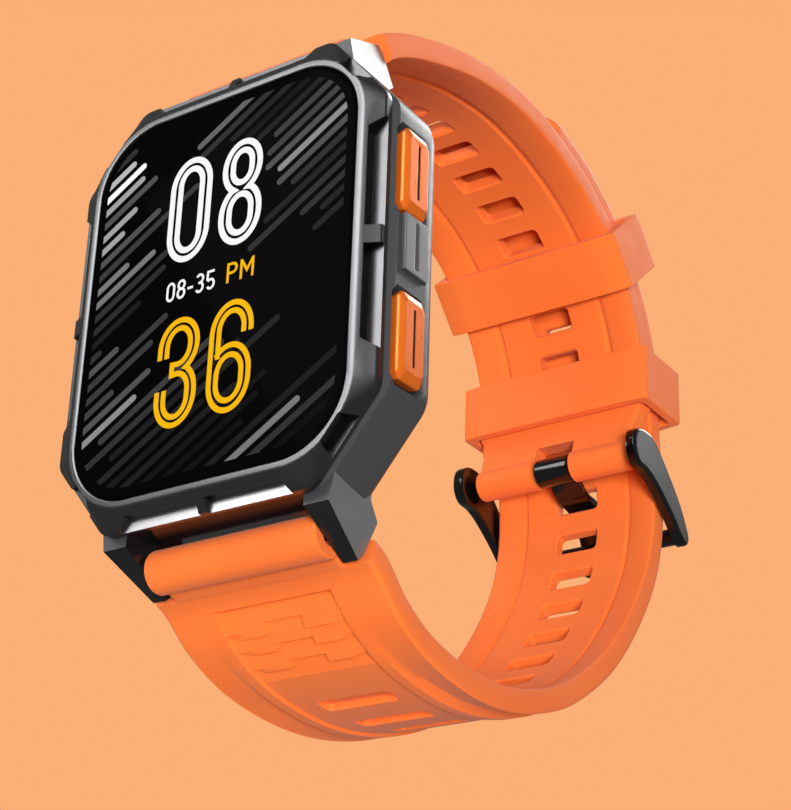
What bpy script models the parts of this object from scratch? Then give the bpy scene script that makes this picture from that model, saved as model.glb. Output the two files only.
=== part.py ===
"""GPS running watch: square rugged case, silicone strap, pin buckle.

The dial faces up.  +X runs to the three o'clock side with the buttons, +Y to twelve
o'clock and +Z out of the screen.  The origin is the middle of the sensor window's flat
face, which rests on the wrist.  Sizes below are in millimetres and are scaled to metres
when a mesh is made.
"""
import math

import bmesh
import bpy
from mathutils import Matrix, Vector

MM = 0.001

# Case: heights above the wrist face, and half sizes of each outline.
GLASS_TOP = 13.0
GLASS_THICK = 1.1
GLASS_HALF = (17.0, 21.85)
GLASS_RADIUS = 7.5
BEZEL_BASE = 11.0
BEZEL_EDGE = 12.0
BEZEL_HALF = (20.0, 25.0)
CHAMFER = (7.15, 8.8)
DECK_TOP = 10.9
DECK_BOTTOM = 9.9
CASE_HALF = (20.6, 24.5)
CASE_BASE = 2.6
CAVITY_HALF = (17.4, 20.6)
CAVITY_CHAMFER = (10.0, 9.5)
BACK_HALF = (19.2, 23.2)
BACK_FACE = 0.5
SENSOR_RADIUS = 9.0

# Recesses cut into the bezel's rim.
RECESS_DEPTH = 1.6
RECESS_FLOOR = 11.5
RECESS_SLANT = 1.1
BRIDGE_HALF = 1.0

# Buttons on the +X side.
BUTTON_CENTRES = {"upper_button": 8.3, "lower_button": -10.1}
BUTTON_HEIGHT = 7.9
BUTTON_HALF = (4.7, 2.1)
BUTTON_FACE = 21.4
BUTTON_TRAVEL = 0.5
STEM_RADIUS = 0.75
STEM_END = 16.6
CLIP_X = 17.0

# Lugs and spring bars.
PIVOT = (27.3, 5.7)
LUG_SPAN = (11.0, 13.3)
LUG_TAPER = (0.17, 0.09)
BAR_RADIUS = 0.9
BAR_BORE = 0.5
BAR_HALF = 9.3
TIP_RADIUS = 0.42
TIP_TRAVEL = 1.2
TIP_END = 12.1
LUG_HOLE = (0.55, 12.4)

# Strap.
STRAP_TUBE = (2.3, 10.7)
STRAP_BORE = 1.0
SHOULDER_START = 3.5
SHOULDER_HALF = 13.5
LOOP_CENTRE = (1.8, -23.0)
BUCKLE_THICK = 3.0
TAIL_THICK = 2.8
LAYER_GAP = 0.35
SLOT_PITCH = 5.9
SLOT_SIZE = (5.8, 2.8)
CHANNEL_DEPTH = 0.5

# Route of the buckle strap's middle surface in the YZ plane, lug to buckle pin.
PIN = (4.5, -56.6)
BUCKLE_ROUTE = [
    PIVOT, (31.0, 0.9), (34.4, -5.7), (38.3, -16.6), (39.8, -28.3), (37.7, -40.5),
    (33.2, -49.4), (26.9, -55.1), (19.8, -58.4), (12.2, -58.7), PIN,
]
# Route of the tail strap, lug to the place where it passes over the buckle pin.
TAIL_ROUTE = [
    (-PIVOT[0], PIVOT[1]), (-28.8, 0.9), (-32.3, -3.6), (-34.9, -9.8), (-36.0, -19.0),
    (-35.0, -28.2), (-31.8, -38.0), (-26.9, -46.2), (-22.2, -51.6), (-16.1, -56.7),
    (-9.7, -60.5), (-3.1, -62.4), (3.6, -62.6),
]
TAIL_OVERLAP = 51.0
TONGUE_SLOT_Y = 2.2

# Keepers, placed by their distance from the buckle pin along the strap.
KEEPER_HALF = 13.7
KEEPER_OPENING = (12.55, 7.9)
KEEPER_DEPTH = 10.4
KEEPER_LENGTH = 7.5
KEEPER_STATIONS = {"keeper_fixed": 10.9, "keeper_free": 28.2}

# Buckle.
FRAME_BAR = (-3.8, -65.8)
ARM_INNER = 11.95
ARM_OUTER = 13.45
EYE_RADIUS = 2.6
BAR_THICK = 1.15
PIN_RADIUS = 0.75
PIN_TUBE = (2.0, 11.2)
NOTCH_HALF = 2.75
TONGUE_HALF = 2.45


# ---------------------------------------------------------------- scene and helpers

def clear_scene():
    for item in list(bpy.data.objects):
        bpy.data.objects.remove(item, do_unlink=True)


def make_collection(name):
    made = bpy.data.collections.new(name)
    bpy.context.scene.collection.children.link(made)
    return made


clear_scene()
PARTS = make_collection("gps_running_watch")
CUTTERS = make_collection("cutters")

FINISHES = {
    "glass": ((0.01, 0.01, 0.012), 0.05, 0.0),
    "gunmetal": ((0.10, 0.10, 0.105), 0.32, 1.0),
    "dark_plastic": ((0.05, 0.05, 0.052), 0.40, 0.0),
    "black_gloss": ((0.01, 0.01, 0.01), 0.12, 0.6),
    "orange_metal": ((0.95, 0.30, 0.04), 0.30, 1.0),
    "orange_silicone": ((0.95, 0.26, 0.05), 0.55, 0.0),
    "steel": ((0.62, 0.62, 0.64), 0.28, 1.0),
    "gold": ((0.85, 0.62, 0.25), 0.25, 1.0),
    "black_rubber": ((0.02, 0.02, 0.02), 0.75, 0.0),
    "board_green": ((0.03, 0.18, 0.08), 0.50, 0.0),
    "pouch_foil": ((0.70, 0.70, 0.72), 0.35, 0.8),
    "ceramic": ((0.75, 0.70, 0.60), 0.45, 0.0),
}


def finish(name, kind):
    """One material for one sub-part."""
    color, roughness, metallic = FINISHES[kind]
    made = bpy.data.materials.new(name + "_finish")
    made.use_nodes = True
    shader = made.node_tree.nodes["Principled BSDF"]
    shader.inputs["Base Color"].default_value = (*color, 1.0)
    shader.inputs["Roughness"].default_value = roughness
    shader.inputs["Metallic"].default_value = metallic
    return made


def add_object(name, bm, kind=None):
    """A part when kind names a finish, otherwise a cutter or a joining shape."""
    bmesh.ops.recalc_face_normals(bm, faces=bm.faces)
    mesh = bpy.data.meshes.new(name)
    bm.to_mesh(mesh)
    bm.free()
    made = bpy.data.objects.new(name, mesh)
    if kind is None:
        CUTTERS.objects.link(made)
        made.hide_render = True
        made.display_type = 'WIRE'
    else:
        PARTS.objects.link(made)
        mesh.materials.append(finish(name, kind))
    return made


def smooth(item, angle=35.0):
    item.data.shade_smooth()
    item.data.set_sharp_from_angle(angle=math.radians(angle))
    return item


def set_origin(item, y=0.0, z=0.0, x=0.0):
    """Put the object's origin on its joint's axis without moving its shape."""
    point = Vector((x, y, z)) * MM
    item.data.transform(Matrix.Translation(-point))
    item.location = point
    return item


def combine(target, other, operation):
    step = target.modifiers.new(other.name, 'BOOLEAN')
    step.operation = operation
    step.solver = 'EXACT'
    step.object = other


def cut(target, *others):
    for other in others:
        combine(target, other, 'DIFFERENCE')


def join(target, *others):
    for other in others:
        combine(target, other, 'UNION')


def bevel(item, width, segments=2, angle=40.0):
    step = item.modifiers.new("bevel", 'BEVEL')
    step.width = width * MM
    step.segments = segments
    step.limit_method = 'ANGLE'
    step.angle_limit = math.radians(angle)
    return item


def skin(bm, rings, closed=False):
    """Loft between rings of equal point count; capped at the ends or joined round."""
    loops = [[bm.verts.new(Vector(p) * MM) for p in ring] for ring in rings]
    count = len(loops[0])
    pairs = list(zip(loops, loops[1:]))
    if closed:
        pairs.append((loops[-1], loops[0]))
    for low, high in pairs:
        for i in range(count):
            j = (i + 1) % count
            bm.faces.new((low[i], low[j], high[j], high[i]))
    if not closed:
        bm.faces.new(loops[0])
        bm.faces.new(loops[-1])
    return bm


def loft(name, rings, kind=None, closed=False):
    return add_object(name, skin(bmesh.new(), rings, closed), kind)


def cylinder(name, centre, radius, length, axis='X', kind=None, segments=24):
    bm = bmesh.new()
    bmesh.ops.create_cone(bm, cap_ends=True, segments=segments, radius1=radius * MM,
                          radius2=radius * MM, depth=length * MM)
    turn = {'X': Matrix.Rotation(math.radians(90), 4, 'Y'),
            'Y': Matrix.Rotation(math.radians(90), 4, 'X'),
            'Z': Matrix.Identity(4)}[axis]
    bmesh.ops.transform(bm, verts=bm.verts, matrix=Matrix.Translation(Vector(centre) * MM) @ turn)
    return add_object(name, bm, kind)


def cuboid(bm, centre, size, turn=0.0):
    """A box turned about X, added to a bmesh."""
    place = (Matrix.Translation(Vector(centre) * MM) @ Matrix.Rotation(turn, 4, 'X')
             @ Matrix.Diagonal((*(Vector(size) * MM), 1.0)))
    bmesh.ops.create_cube(bm, size=1.0, matrix=place)
    return bm


def box(name, centre, size, kind=None, turn=0.0):
    return add_object(name, cuboid(bmesh.new(), centre, size, turn), kind)


def tube(name, centre, outer, inner, length, axis, kind, segments=20):
    """A plain ring or sleeve."""
    made = cylinder(name, centre, outer, length, axis, kind, segments)
    cut(made, cylinder(name + "_bore", centre, inner, length + 1.0, axis, None, segments))
    return smooth(made)


def outline(half, chamfer, radius, z, steps=3):
    """A chamfered rectangle with rounded corners at height z."""
    hx, hy = half
    lx, ly = chamfer
    quarter = [(hx, hy - ly), (hx - lx, hy)]
    corners = []
    for sx, sy in ((1, 1), (-1, 1), (-1, -1), (1, -1)):
        pair = [(sx * x, sy * y) for x, y in quarter]
        corners += pair if sx * sy > 0 else pair[::-1]
    points = []
    count = len(corners)
    for i, corner in enumerate(corners):
        here = Vector(corner)
        back = (Vector(corners[i - 1]) - here).normalized()
        ahead = (Vector(corners[(i + 1) % count]) - here).normalized()
        half_angle = back.angle(ahead) / 2.0
        reach = radius / math.tan(half_angle)
        centre = here + (back + ahead).normalized() * (radius / math.sin(half_angle))
        first = here + back * reach - centre
        last = here + ahead * reach - centre
        sweep = first.angle_signed(last)
        for k in range(steps + 1):
            turned = Matrix.Rotation(-sweep * k / steps, 2) @ first
            point = centre + turned
            points.append((point.x, point.y, z))
    return points


def rounded(half, radius, z, steps=3):
    """A rectangle with round corners, with the same point count as outline()."""
    leg = radius * (2.0 - math.sqrt(2.0))
    return outline(half, (leg, leg), radius * 0.999, z, steps)


def grown(half, amount):
    return (half[0] + amount, half[1] + amount)


# ---------------------------------------------------------------- strap geometry

class Route:
    """A smooth curve in the YZ plane, measured by its length."""

    def __init__(self, points, per_span=24):
        self.points = self.smooth_through([Vector(p) for p in points], per_span)
        self.lengths = [0.0]
        for a, b in zip(self.points, self.points[1:]):
            self.lengths.append(self.lengths[-1] + (b - a).length)
        self.total = self.lengths[-1]

    @staticmethod
    def smooth_through(knots, per_span):
        ends = [knots[0] * 2 - knots[1]] + knots + [knots[-1] * 2 - knots[-2]]
        result = []
        for p0, p1, p2, p3 in zip(ends, ends[1:], ends[2:], ends[3:]):
            for k in range(per_span):
                t = k / per_span
                result.append(0.5 * (2 * p1 + (p2 - p0) * t
                                     + (2 * p0 - 5 * p1 + 4 * p2 - p3) * t * t
                                     + (3 * p1 - p0 - 3 * p2 + p3) * t ** 3))
        return result + [knots[-1]]

    def at(self, distance):
        distance = min(max(distance, 0.0), self.total)
        for i, (a, b) in enumerate(zip(self.lengths, self.lengths[1:])):
            if distance <= b:
                share = (distance - a) / (b - a)
                return self.points[i].lerp(self.points[i + 1], share)
        return self.points[-1]

    def frame(self, distance):
        """The point, the direction of travel and the direction away from the wrist."""
        point = self.at(distance)
        reach = 0.6
        along = (self.at(distance + reach) - self.at(distance - reach)).normalized()
        away = Vector((-along.y, along.x))
        if away.dot(point - Vector(LOOP_CENTRE)) < 0:
            away = -away
        return point, along, away

    def offset(self, distance, amount):
        point, _, away = self.frame(distance)
        return point + away * amount

    def nearest(self, y, start, stop):
        """The distance between start and stop at which the curve crosses a Y value."""
        steps = 400
        places = [start + (stop - start) * k / steps for k in range(steps + 1)]
        return min(places, key=lambda d: abs(self.at(d).x - y))


def build_routes():
    buckle = Route(BUCKLE_ROUTE)
    lift = BUCKLE_THICK / 2 + LAYER_GAP + TAIL_THICK / 2
    knots = [Vector(p) for p in TAIL_ROUTE]
    reach = 9.0
    while reach <= TAIL_OVERLAP:
        knots.append(buckle.offset(buckle.total - reach, lift))
        reach += 3.5
    return buckle, Route(knots)


def strap_section(route, distance, half_width, thick, channel):
    """Twelve points round the strap at one station."""
    point, _, away = route.frame(distance)
    edge = 0.45
    inner = -thick / 2
    outer = thick / 2
    band = half_width - 2.6
    floor = inner + channel
    half = [(half_width, outer - edge), (half_width, inner + edge), (half_width - edge, inner),
            (band, inner), (band - 0.6, floor)]
    flat = [(half_width - edge, outer)] + half
    mirrored = [(-x, n) for x, n in flat[::-1]]
    return [(x, *(point + away * n)) for x, n in flat + mirrored]


def slot_cutter(name, route, stations, along_size=SLOT_SIZE[1]):
    bm = bmesh.new()
    for distance in stations:
        point, along, _ = route.frame(distance)
        turn = math.atan2(along.y, along.x)
        cuboid(bm, (0.0, point.x, point.y), (SLOT_SIZE[0], along_size, 8.0), turn)
    return add_object(name, bm)


# ---------------------------------------------------------------- case

def make_bezel():
    inner = grown(GLASS_HALF, 0.1)
    rings = [
        outline(BEZEL_HALF, CHAMFER, 2.0, BEZEL_BASE),
        outline(BEZEL_HALF, CHAMFER, 2.0, BEZEL_EDGE - 0.15),
        outline(grown(BEZEL_HALF, -0.2), CHAMFER, 2.0, BEZEL_EDGE),
        rounded(grown(inner, 0.35), GLASS_RADIUS + 0.45, GLASS_TOP),
        rounded(inner, GLASS_RADIUS + 0.1, GLASS_TOP - 0.1),
        rounded(inner, GLASS_RADIUS + 0.1, BEZEL_BASE),
    ]
    bezel = loft("bezel_ring", rings, "gunmetal", closed=True)
    cut(bezel, bezel_recesses())
    return smooth(bezel)


def recess(bm, start, stop, depth, edge, place):
    """A notch open at the rim, its ends slanting out; place maps (along, out) to XY."""
    slant = RECESS_SLANT
    first = 0.0 if abs(start) <= BRIDGE_HALF else slant * math.copysign(1, start)
    last = 0.0 if abs(stop) <= BRIDGE_HALF else slant * math.copysign(1, stop)
    plan = [(start - first, edge - depth), (stop - last, edge - depth),
            (stop + last * 0.5, edge + 1.0), (start + first * 0.5, edge + 1.0)]
    rings = [[(*place(a, o), z) for a, o in plan] for z in (RECESS_FLOOR, GLASS_TOP + 1.0)]
    skin(bm, rings)


def bezel_recesses():
    bm = bmesh.new()
    for side in (1, -1):
        for start, stop in ((BRIDGE_HALF, 13.5), (-BRIDGE_HALF, -12.3)):
            recess(bm, start, stop, RECESS_DEPTH, BEZEL_HALF[0],
                   lambda a, o, side=side: (side * o, a))
        for start, stop in ((0.5, 10.8), (-0.5, -10.8)):
            recess(bm, start, stop, RECESS_DEPTH - 0.25, BEZEL_HALF[1],
                   lambda a, o, side=side: (a, side * o))
    corner = Vector((BEZEL_HALF[0] - CHAMFER[0] / 2, BEZEL_HALF[1] - CHAMFER[1] / 2))
    along = Vector((CHAMFER[0], -CHAMFER[1])).normalized()
    out = Vector((-along.y, along.x))
    for sx in (1, -1):
        for sy in (1, -1):
            def place(a, o, sx=sx, sy=sy):
                point = corner + along * a + out * o
                return (sx * point.x, sy * point.y)
            recess(bm, -2.6, 2.6, 1.15, 0.0, place)
    return add_object("bezel_recess_cutter", bm)


def lug_blocks():
    """Four lug prisms; the profile runs from the bezel, round the bar, to the case."""
    profile = [(4.6, 4.6), (1.4, 4.7), (-2.2, -2.0), (-1.4, -2.8), (2.2, -4.2),
               (3.9, -2.3), (9.0, -2.3), (9.0, 4.6)]
    made = []
    for sy in (1, -1):
        for sx in (1, -1):
            rings = []
            for x, taper, lean in ((LUG_SPAN[0], 0.0, 0.0), (LUG_SPAN[1], *LUG_TAPER)):
                rings.append([(sx * (x + taper * dy + lean * dz), sy * (PIVOT[0] - dy),
                               PIVOT[1] + dz) for dy, dz in profile])
            side = ("upper" if sy > 0 else "lower") + ("_right" if sx > 0 else "_left")
            made.append(loft("lug_" + side, rings))
    return made


def button_pockets():
    bm = bmesh.new()
    for centre in BUTTON_CENTRES.values():
        size = (BUTTON_HALF[0] + 0.4, BUTTON_HALF[1] + 0.4)
        rings = []
        for x, extra in ((19.2, 0.0), (20.0, 0.0), (21.2, 0.35)):
            ring = outline(grown(size, extra), (0.85, 0.65), 0.3, x, steps=1)
            rings.append([(h, centre + a, BUTTON_HEIGHT + b) for a, b, h in ring])
        skin(bm, rings)
    return add_object("button_pocket_cutter", bm)


def mid_case_bores():
    """Stem bores, seal seats, screw holes, spring bar holes and the window."""
    tools = []
    for name, centre in BUTTON_CENTRES.items():
        place = (18.5, centre, BUTTON_HEIGHT)
        tools.append(cylinder(name + "_bore", place, STEM_RADIUS + 0.1, 4.0, segments=16))
        tools.append(cylinder(name + "_seat", (17.8, centre, BUTTON_HEIGHT), 1.35, 1.6,
                              segments=16))
    for sy in (1, -1):
        for sx in (1, -1):
            middle = (10.5 + LUG_HOLE[1]) / 2
            side = ("upper" if sy > 0 else "lower") + ("_right" if sx > 0 else "_left")
            tools.append(cylinder("lug_hole_" + side, (sx * middle, sy * PIVOT[0], PIVOT[1]),
                                  LUG_HOLE[0], LUG_HOLE[1] - 10.5, segments=16))
    return tools


SCREW_PLACES = [(11.5, 14.2), (-11.5, 14.2), (-11.5, -14.2), (11.5, -14.2)]


def make_mid_case():
    rings = [
        outline(grown(CASE_HALF, -1.2), (6.9, 8.5), 4.0, CASE_BASE),
        outline(CASE_HALF, (7.3, 8.9), 3.5, 4.6),
        outline(CASE_HALF, (7.3, 8.9), 3.0, 10.3),
        outline((20.1, 24.3), (7.2, 8.7), 2.6, DECK_TOP),
    ]
    case = loft("mid_case", rings, "dark_plastic")
    join(case, *lug_blocks())
    cavity = loft("cavity_cutter", [outline(CAVITY_HALF, CAVITY_CHAMFER, 2.0, z)
                                    for z in (0.0, DECK_BOTTOM)])
    cut(case, cavity)
    for i, (x, y) in enumerate(SCREW_PLACES, start=1):
        join(case, cylinder(f"boss_{i}", (x, y, (CASE_BASE + 6.4) / 2 + 0.15), 2.1,
                            6.4 - CASE_BASE - 0.3, 'Z', segments=16))
        cut(case, cylinder(f"boss_hole_{i}", (x, y, 3.5), 0.62, 4.4, 'Z', segments=12))
    cut(case, loft("window_cutter", [rounded((15.8, 20.6), 6.2, z) for z in (9.0, 12.0)]))
    cut(case, loft("seal_groove_cutter", [outline((18.0, 21.6), (8.6, 8.8), 2.5, z)
                                          for z in (2.0, 3.0)]))
    cut(case, button_pockets(), *mid_case_bores())
    cut(case, box("insert_seat_cutter", (20.7, 0.3, 7.3), (1.0, 6.6, 4.2)))
    return smooth(case)


def make_side_insert():
    """The plate between the buttons, with a narrow sound slit."""
    plate = box("side_insert", (20.63, 0.3, 7.3), (0.74, 6.3, 3.9), "dark_plastic")
    cut(plate, box("insert_slit_cutter", (21.0, 0.3, 7.3), (0.8, 5.2, 0.45)))
    return plate


def make_glass_stack():
    front = loft("front_glass", [
        rounded(GLASS_HALF, GLASS_RADIUS, GLASS_TOP - GLASS_THICK),
        rounded(GLASS_HALF, GLASS_RADIUS, GLASS_TOP - 0.3),
        rounded(grown(GLASS_HALF, -0.3), GLASS_RADIUS - 0.3, GLASS_TOP)], "glass")
    smooth(front)
    low, high = DECK_TOP + 0.06, GLASS_TOP - GLASS_THICK - 0.05
    seal = [rounded(grown(GLASS_HALF, -0.1), GLASS_RADIUS - 0.1, low),
            rounded(grown(GLASS_HALF, -0.1), GLASS_RADIUS - 0.1, high),
            rounded((16.0, 20.8), 6.5, high), rounded((16.0, 20.8), 6.5, low)]
    smooth(loft("glass_gasket", seal, "black_rubber", closed=True))
    smooth(loft("display_panel", [rounded((15.6, 20.4), 6.0, z) for z in (10.1, 11.8)],
                "glass"))
    bracket = [outline((17.0, 20.2), CAVITY_CHAMFER, 2.0, 9.5),
               outline((17.0, 20.2), CAVITY_CHAMFER, 2.0, 9.8),
               outline((14.0, 17.2), (7.5, 7.5), 2.0, 9.8),
               outline((14.0, 17.2), (7.5, 7.5), 2.0, 9.5)]
    loft("display_bracket", bracket, "steel", closed=True)


def make_back():
    rings = [
        outline(grown(BACK_HALF, -3.2), (6.4, 7.6), 4.0, BACK_FACE),
        outline(grown(BACK_HALF, -1.7), (6.8, 8.1), 4.0, BACK_FACE + 0.2),
        outline(grown(BACK_HALF, -0.6), (7.0, 8.4), 4.0, BACK_FACE + 0.9),
        outline(BACK_HALF, (7.1, 8.5), 4.0, CASE_BASE - 0.1),
    ]
    cover = loft("back_cover", rings, "black_gloss")
    cut(cover, cylinder("sensor_opening", (0, 0, 1.5), SENSOR_RADIUS + 0.1, 4.0, 'Z',
                        segments=40))
    for i, (x, y) in enumerate(SCREW_PLACES, start=1):
        cut(cover, cylinder(f"screw_hole_{i}", (x, y, 1.5), 0.65, 4.0, 'Z', segments=12))
        cut(cover, cylinder(f"screw_seat_{i}", (x, y, 0.75), 1.2, 1.1, 'Z', segments=16))
        make_screw(f"case_screw_{i}", x, y)
    for side, x in (("left", -3.2), ("right", 3.2)):
        cut(cover, cylinder(f"contact_hole_{side}", (x, -13.2, 1.5), 1.3, 4.0, 'Z',
                            segments=16))
        contact = cylinder(f"charging_contact_{side}", (x, -13.2, 1.7), 1.2, 2.6, 'Z',
                           "gold", 16)
        smooth(contact)
    smooth(cover)
    groove = [outline((17.9, 21.5), (8.6, 8.8), 2.5, 2.62),
              outline((17.9, 21.5), (8.6, 8.8), 2.5, 2.92),
              outline((17.5, 20.9), (9.6, 9.2), 2.2, 2.92),
              outline((17.5, 20.9), (9.6, 9.2), 2.2, 2.62)]
    smooth(loft("case_gasket", groove, "black_rubber", closed=True))
    window = cylinder("sensor_window", (0, 0, 0.8), SENSOR_RADIUS, 1.6, 'Z', "glass", 40)
    bevel(window, 0.35, 2)
    smooth(window)
    smooth(cylinder("sensor_board", (0, 0, 2.1), 8.2, 0.7, 'Z', "board_green", 32))


def make_screw(name, x, y):
    screw = cylinder(name, (x, y, 0.95), 1.1, 0.6, 'Z', "steel", 16)
    join(screw, cylinder(name + "_shank", (x, y, 3.1), 0.55, 4.0, 'Z', segments=12))
    cut(screw, cylinder(name + "_socket", (x, y, 0.6), 0.5, 0.8, 'Z', segments=6))
    smooth(screw)


def make_internals():
    board = loft("main_board", [outline((14.4, 18.6), (8.5, 8.0), 1.0, z, steps=1)
                                for z in (7.2, 8.0)], "board_green")
    smooth(board)
    bevel(box("battery", (-1.0, -1.0, 5.0), (24.0, 18.0, 3.4), "pouch_foil"), 0.5)
    bevel(box("gps_antenna", (0.0, 13.2, 6.1), (12.0, 7.0, 1.9), "ceramic"), 0.2, 1)
    smooth(cylinder("vibration_motor", (0.0, -15.3, 5.0), 4.0, 2.7, 'Z', "steel", 24))
    bevel(box("speaker", (14.6, 0.0, 5.4), (4.4, 6.0, 2.4), "dark_plastic"), 0.2, 1)


# ---------------------------------------------------------------- buttons

def make_button(name, centre):
    """Faceted cap with a slit, and a stem that runs in through the case wall."""
    stages = ((19.75, (-0.15, -0.15), 0.4), (20.75, (0.0, 0.0), 0.45),
              (21.0, (-0.1, -0.1), 0.45), (BUTTON_FACE, (-0.9, -0.5), 0.35))
    rings = []
    for x, (extra_y, extra_z), corner in stages:
        half = (BUTTON_HALF[0] + extra_y, BUTTON_HALF[1] + extra_z)
        ring = outline(half, (corner + 0.2, corner), 0.25, x, steps=1)
        rings.append([(h, centre + a, BUTTON_HEIGHT + b) for a, b, h in ring])
    cap = loft(name, rings, "orange_metal")
    middle = (STEM_END + 20.2) / 2
    join(cap, cylinder(name + "_stem", (middle, centre, BUTTON_HEIGHT), STEM_RADIUS,
                       20.2 - STEM_END, segments=16))
    cut(cap, box(name + "_slit", (BUTTON_FACE, centre, BUTTON_HEIGHT), (0.8, 6.2, 0.4)))
    set_origin(cap, centre, BUTTON_HEIGHT, BUTTON_FACE)
    smooth(cap, 20)
    clip = tube(name + "_clip", (CLIP_X, centre, BUTTON_HEIGHT), 1.35, STEM_RADIUS + 0.04,
                0.25, 'X', "steel", 16)
    clip.parent = cap
    clip.matrix_parent_inverse = Matrix.Translation(-cap.location)
    seal = tube(name + "_seal", (18.1, centre, BUTTON_HEIGHT), 1.3, STEM_RADIUS + 0.04,
                0.5, 'X', "black_rubber", 16)
    bevel(seal, 0.12, 1)
    switch = box(name.replace("button", "switch"), (15.3, centre, BUTTON_HEIGHT),
                 (0.8, 3.4, 3.0), "steel")
    join(switch, cylinder(name + "_plunger", (15.75, centre, BUTTON_HEIGHT), 0.6, 0.6,
                          segments=12))


# ---------------------------------------------------------------- spring bars

def coil_spring(name, half_length, radius, wire, turns, centre):
    """A coil along X as a thin tube."""
    per_turn = 8
    count = turns * per_turn
    data = bpy.data.curves.new(name, 'CURVE')
    data.dimensions = '3D'
    data.bevel_depth = wire * MM
    data.bevel_resolution = 1
    data.use_fill_caps = True
    line = data.splines.new('POLY')
    line.points.add(count)
    for i in range(count + 1):
        angle = 2 * math.pi * i / per_turn
        x = -half_length + 2 * half_length * i / count
        place = Vector((x, centre[0] + radius * math.cos(angle),
                        centre[1] + radius * math.sin(angle))) * MM
        line.points[i].co = (*place, 1.0)
    curve = bpy.data.objects.new(name + "_curve", data)
    PARTS.objects.link(curve)
    shape = bpy.data.meshes.new_from_object(curve.evaluated_get(
        bpy.context.evaluated_depsgraph_get()))
    bm = bmesh.new()
    bm.from_mesh(shape)
    bmesh.ops.remove_doubles(bm, verts=bm.verts, dist=0.001 * MM)
    bpy.data.objects.remove(curve, do_unlink=True)
    return smooth(add_object(name, bm, "steel"))


def make_spring_bar(prefix, y, retracted):
    """Barrel, coil and two flanged tips; a retracted bar is ready to leave its lugs."""
    z = PIVOT[1]
    barrel = cylinder(prefix + "_barrel", (0, y, z), BAR_RADIUS, 2 * BAR_HALF, 'X', "steel")
    cut(barrel, cylinder(prefix + "_barrel_bore", (0, y, z), BAR_BORE, 30.0, segments=16))
    smooth(barrel)
    back = TIP_TRAVEL if retracted else 0.0
    for side, sx in (("left", -1), ("right", 1)):
        end = TIP_END - back
        start = 8.1 - back
        name = f"{prefix}_tip_{side}"
        tip = cylinder(name, (sx * (start + end) / 2, y, z), TIP_RADIUS, end - start, 'X',
                       "steel", 14)
        flange = 10.68 - back
        join(tip, cylinder(name + "_flange", (sx * flange, y, z), 0.82, 0.24, segments=16))
        set_origin(tip, y, z, sx * end)
        smooth(tip)
    coil_spring(prefix + "_spring", 7.9 - back, 0.34, 0.09, 9, (y, z))


# ---------------------------------------------------------------- straps

def strap_tube(name, y, z, radius, half):
    return cylinder(name, (0, y, z), radius, 2 * half, 'X', segments=28)


def make_buckle_strap(route):
    """Short strap: lug tube, shoulders, slots, and the tube that holds the buckle pin."""
    total = route.total
    stations = [(1.0, 10.6, 3.2, 0.0), (SHOULDER_START, 10.6, 3.2, 0.0),
                (SHOULDER_START + 0.02, SHOULDER_HALF, 3.2, 0.0)]
    distance = 6.0
    while distance < total - 7.0:
        share = min(1.0, (distance - 6.0) / 50.0)
        half = SHOULDER_HALF + (12.2 - SHOULDER_HALF) * share
        stations.append((distance, half, BUCKLE_THICK, CHANNEL_DEPTH if share > 0.1 else 0.0))
        distance += 3.0
    stations += [(total - 6.2, 11.6, 2.9, 0.0), (total - 4.0, PIN_TUBE[1] - 0.05, 2.7, 0.0),
                 (total - 0.9, PIN_TUBE[1] - 0.05, 2.6, 0.0)]
    rings = [strap_section(route, *station) for station in stations]
    strap = loft("buckle_strap", rings, "orange_silicone")
    join(strap, strap_tube("buckle_strap_lug_tube", PIVOT[0], PIVOT[1], *STRAP_TUBE),
         strap_tube("buckle_strap_pin_tube", PIN[0], PIN[1], *PIN_TUBE))
    cut(strap, cylinder("buckle_strap_bore", (0, *PIVOT), STRAP_BORE, 40.0, segments=20),
        cylinder("buckle_strap_pin_bore", (0, *PIN), PIN_RADIUS + 0.1, 40.0, segments=16),
        box("tongue_notch_cutter", (0, PIN[0] - 0.2, PIN[1]), (2 * NOTCH_HALF, 7.6, 8.0)))
    places = [total - 16.3 - SLOT_PITCH * k for k in range(10)]
    cut(strap, slot_cutter("buckle_strap_slots", route, places))
    set_origin(strap, *PIVOT)
    return smooth(strap)


def tail_width(distance, total):
    share = min(1.0, max(0.0, (distance - 5.0) / 45.0))
    half = SHOULDER_HALF + (11.6 - SHOULDER_HALF) * share
    left = total - distance
    if left < 6.0:
        half *= math.sqrt(max(0.12, 1.0 - ((6.0 - left) / 6.0) ** 2))
    return half


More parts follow.
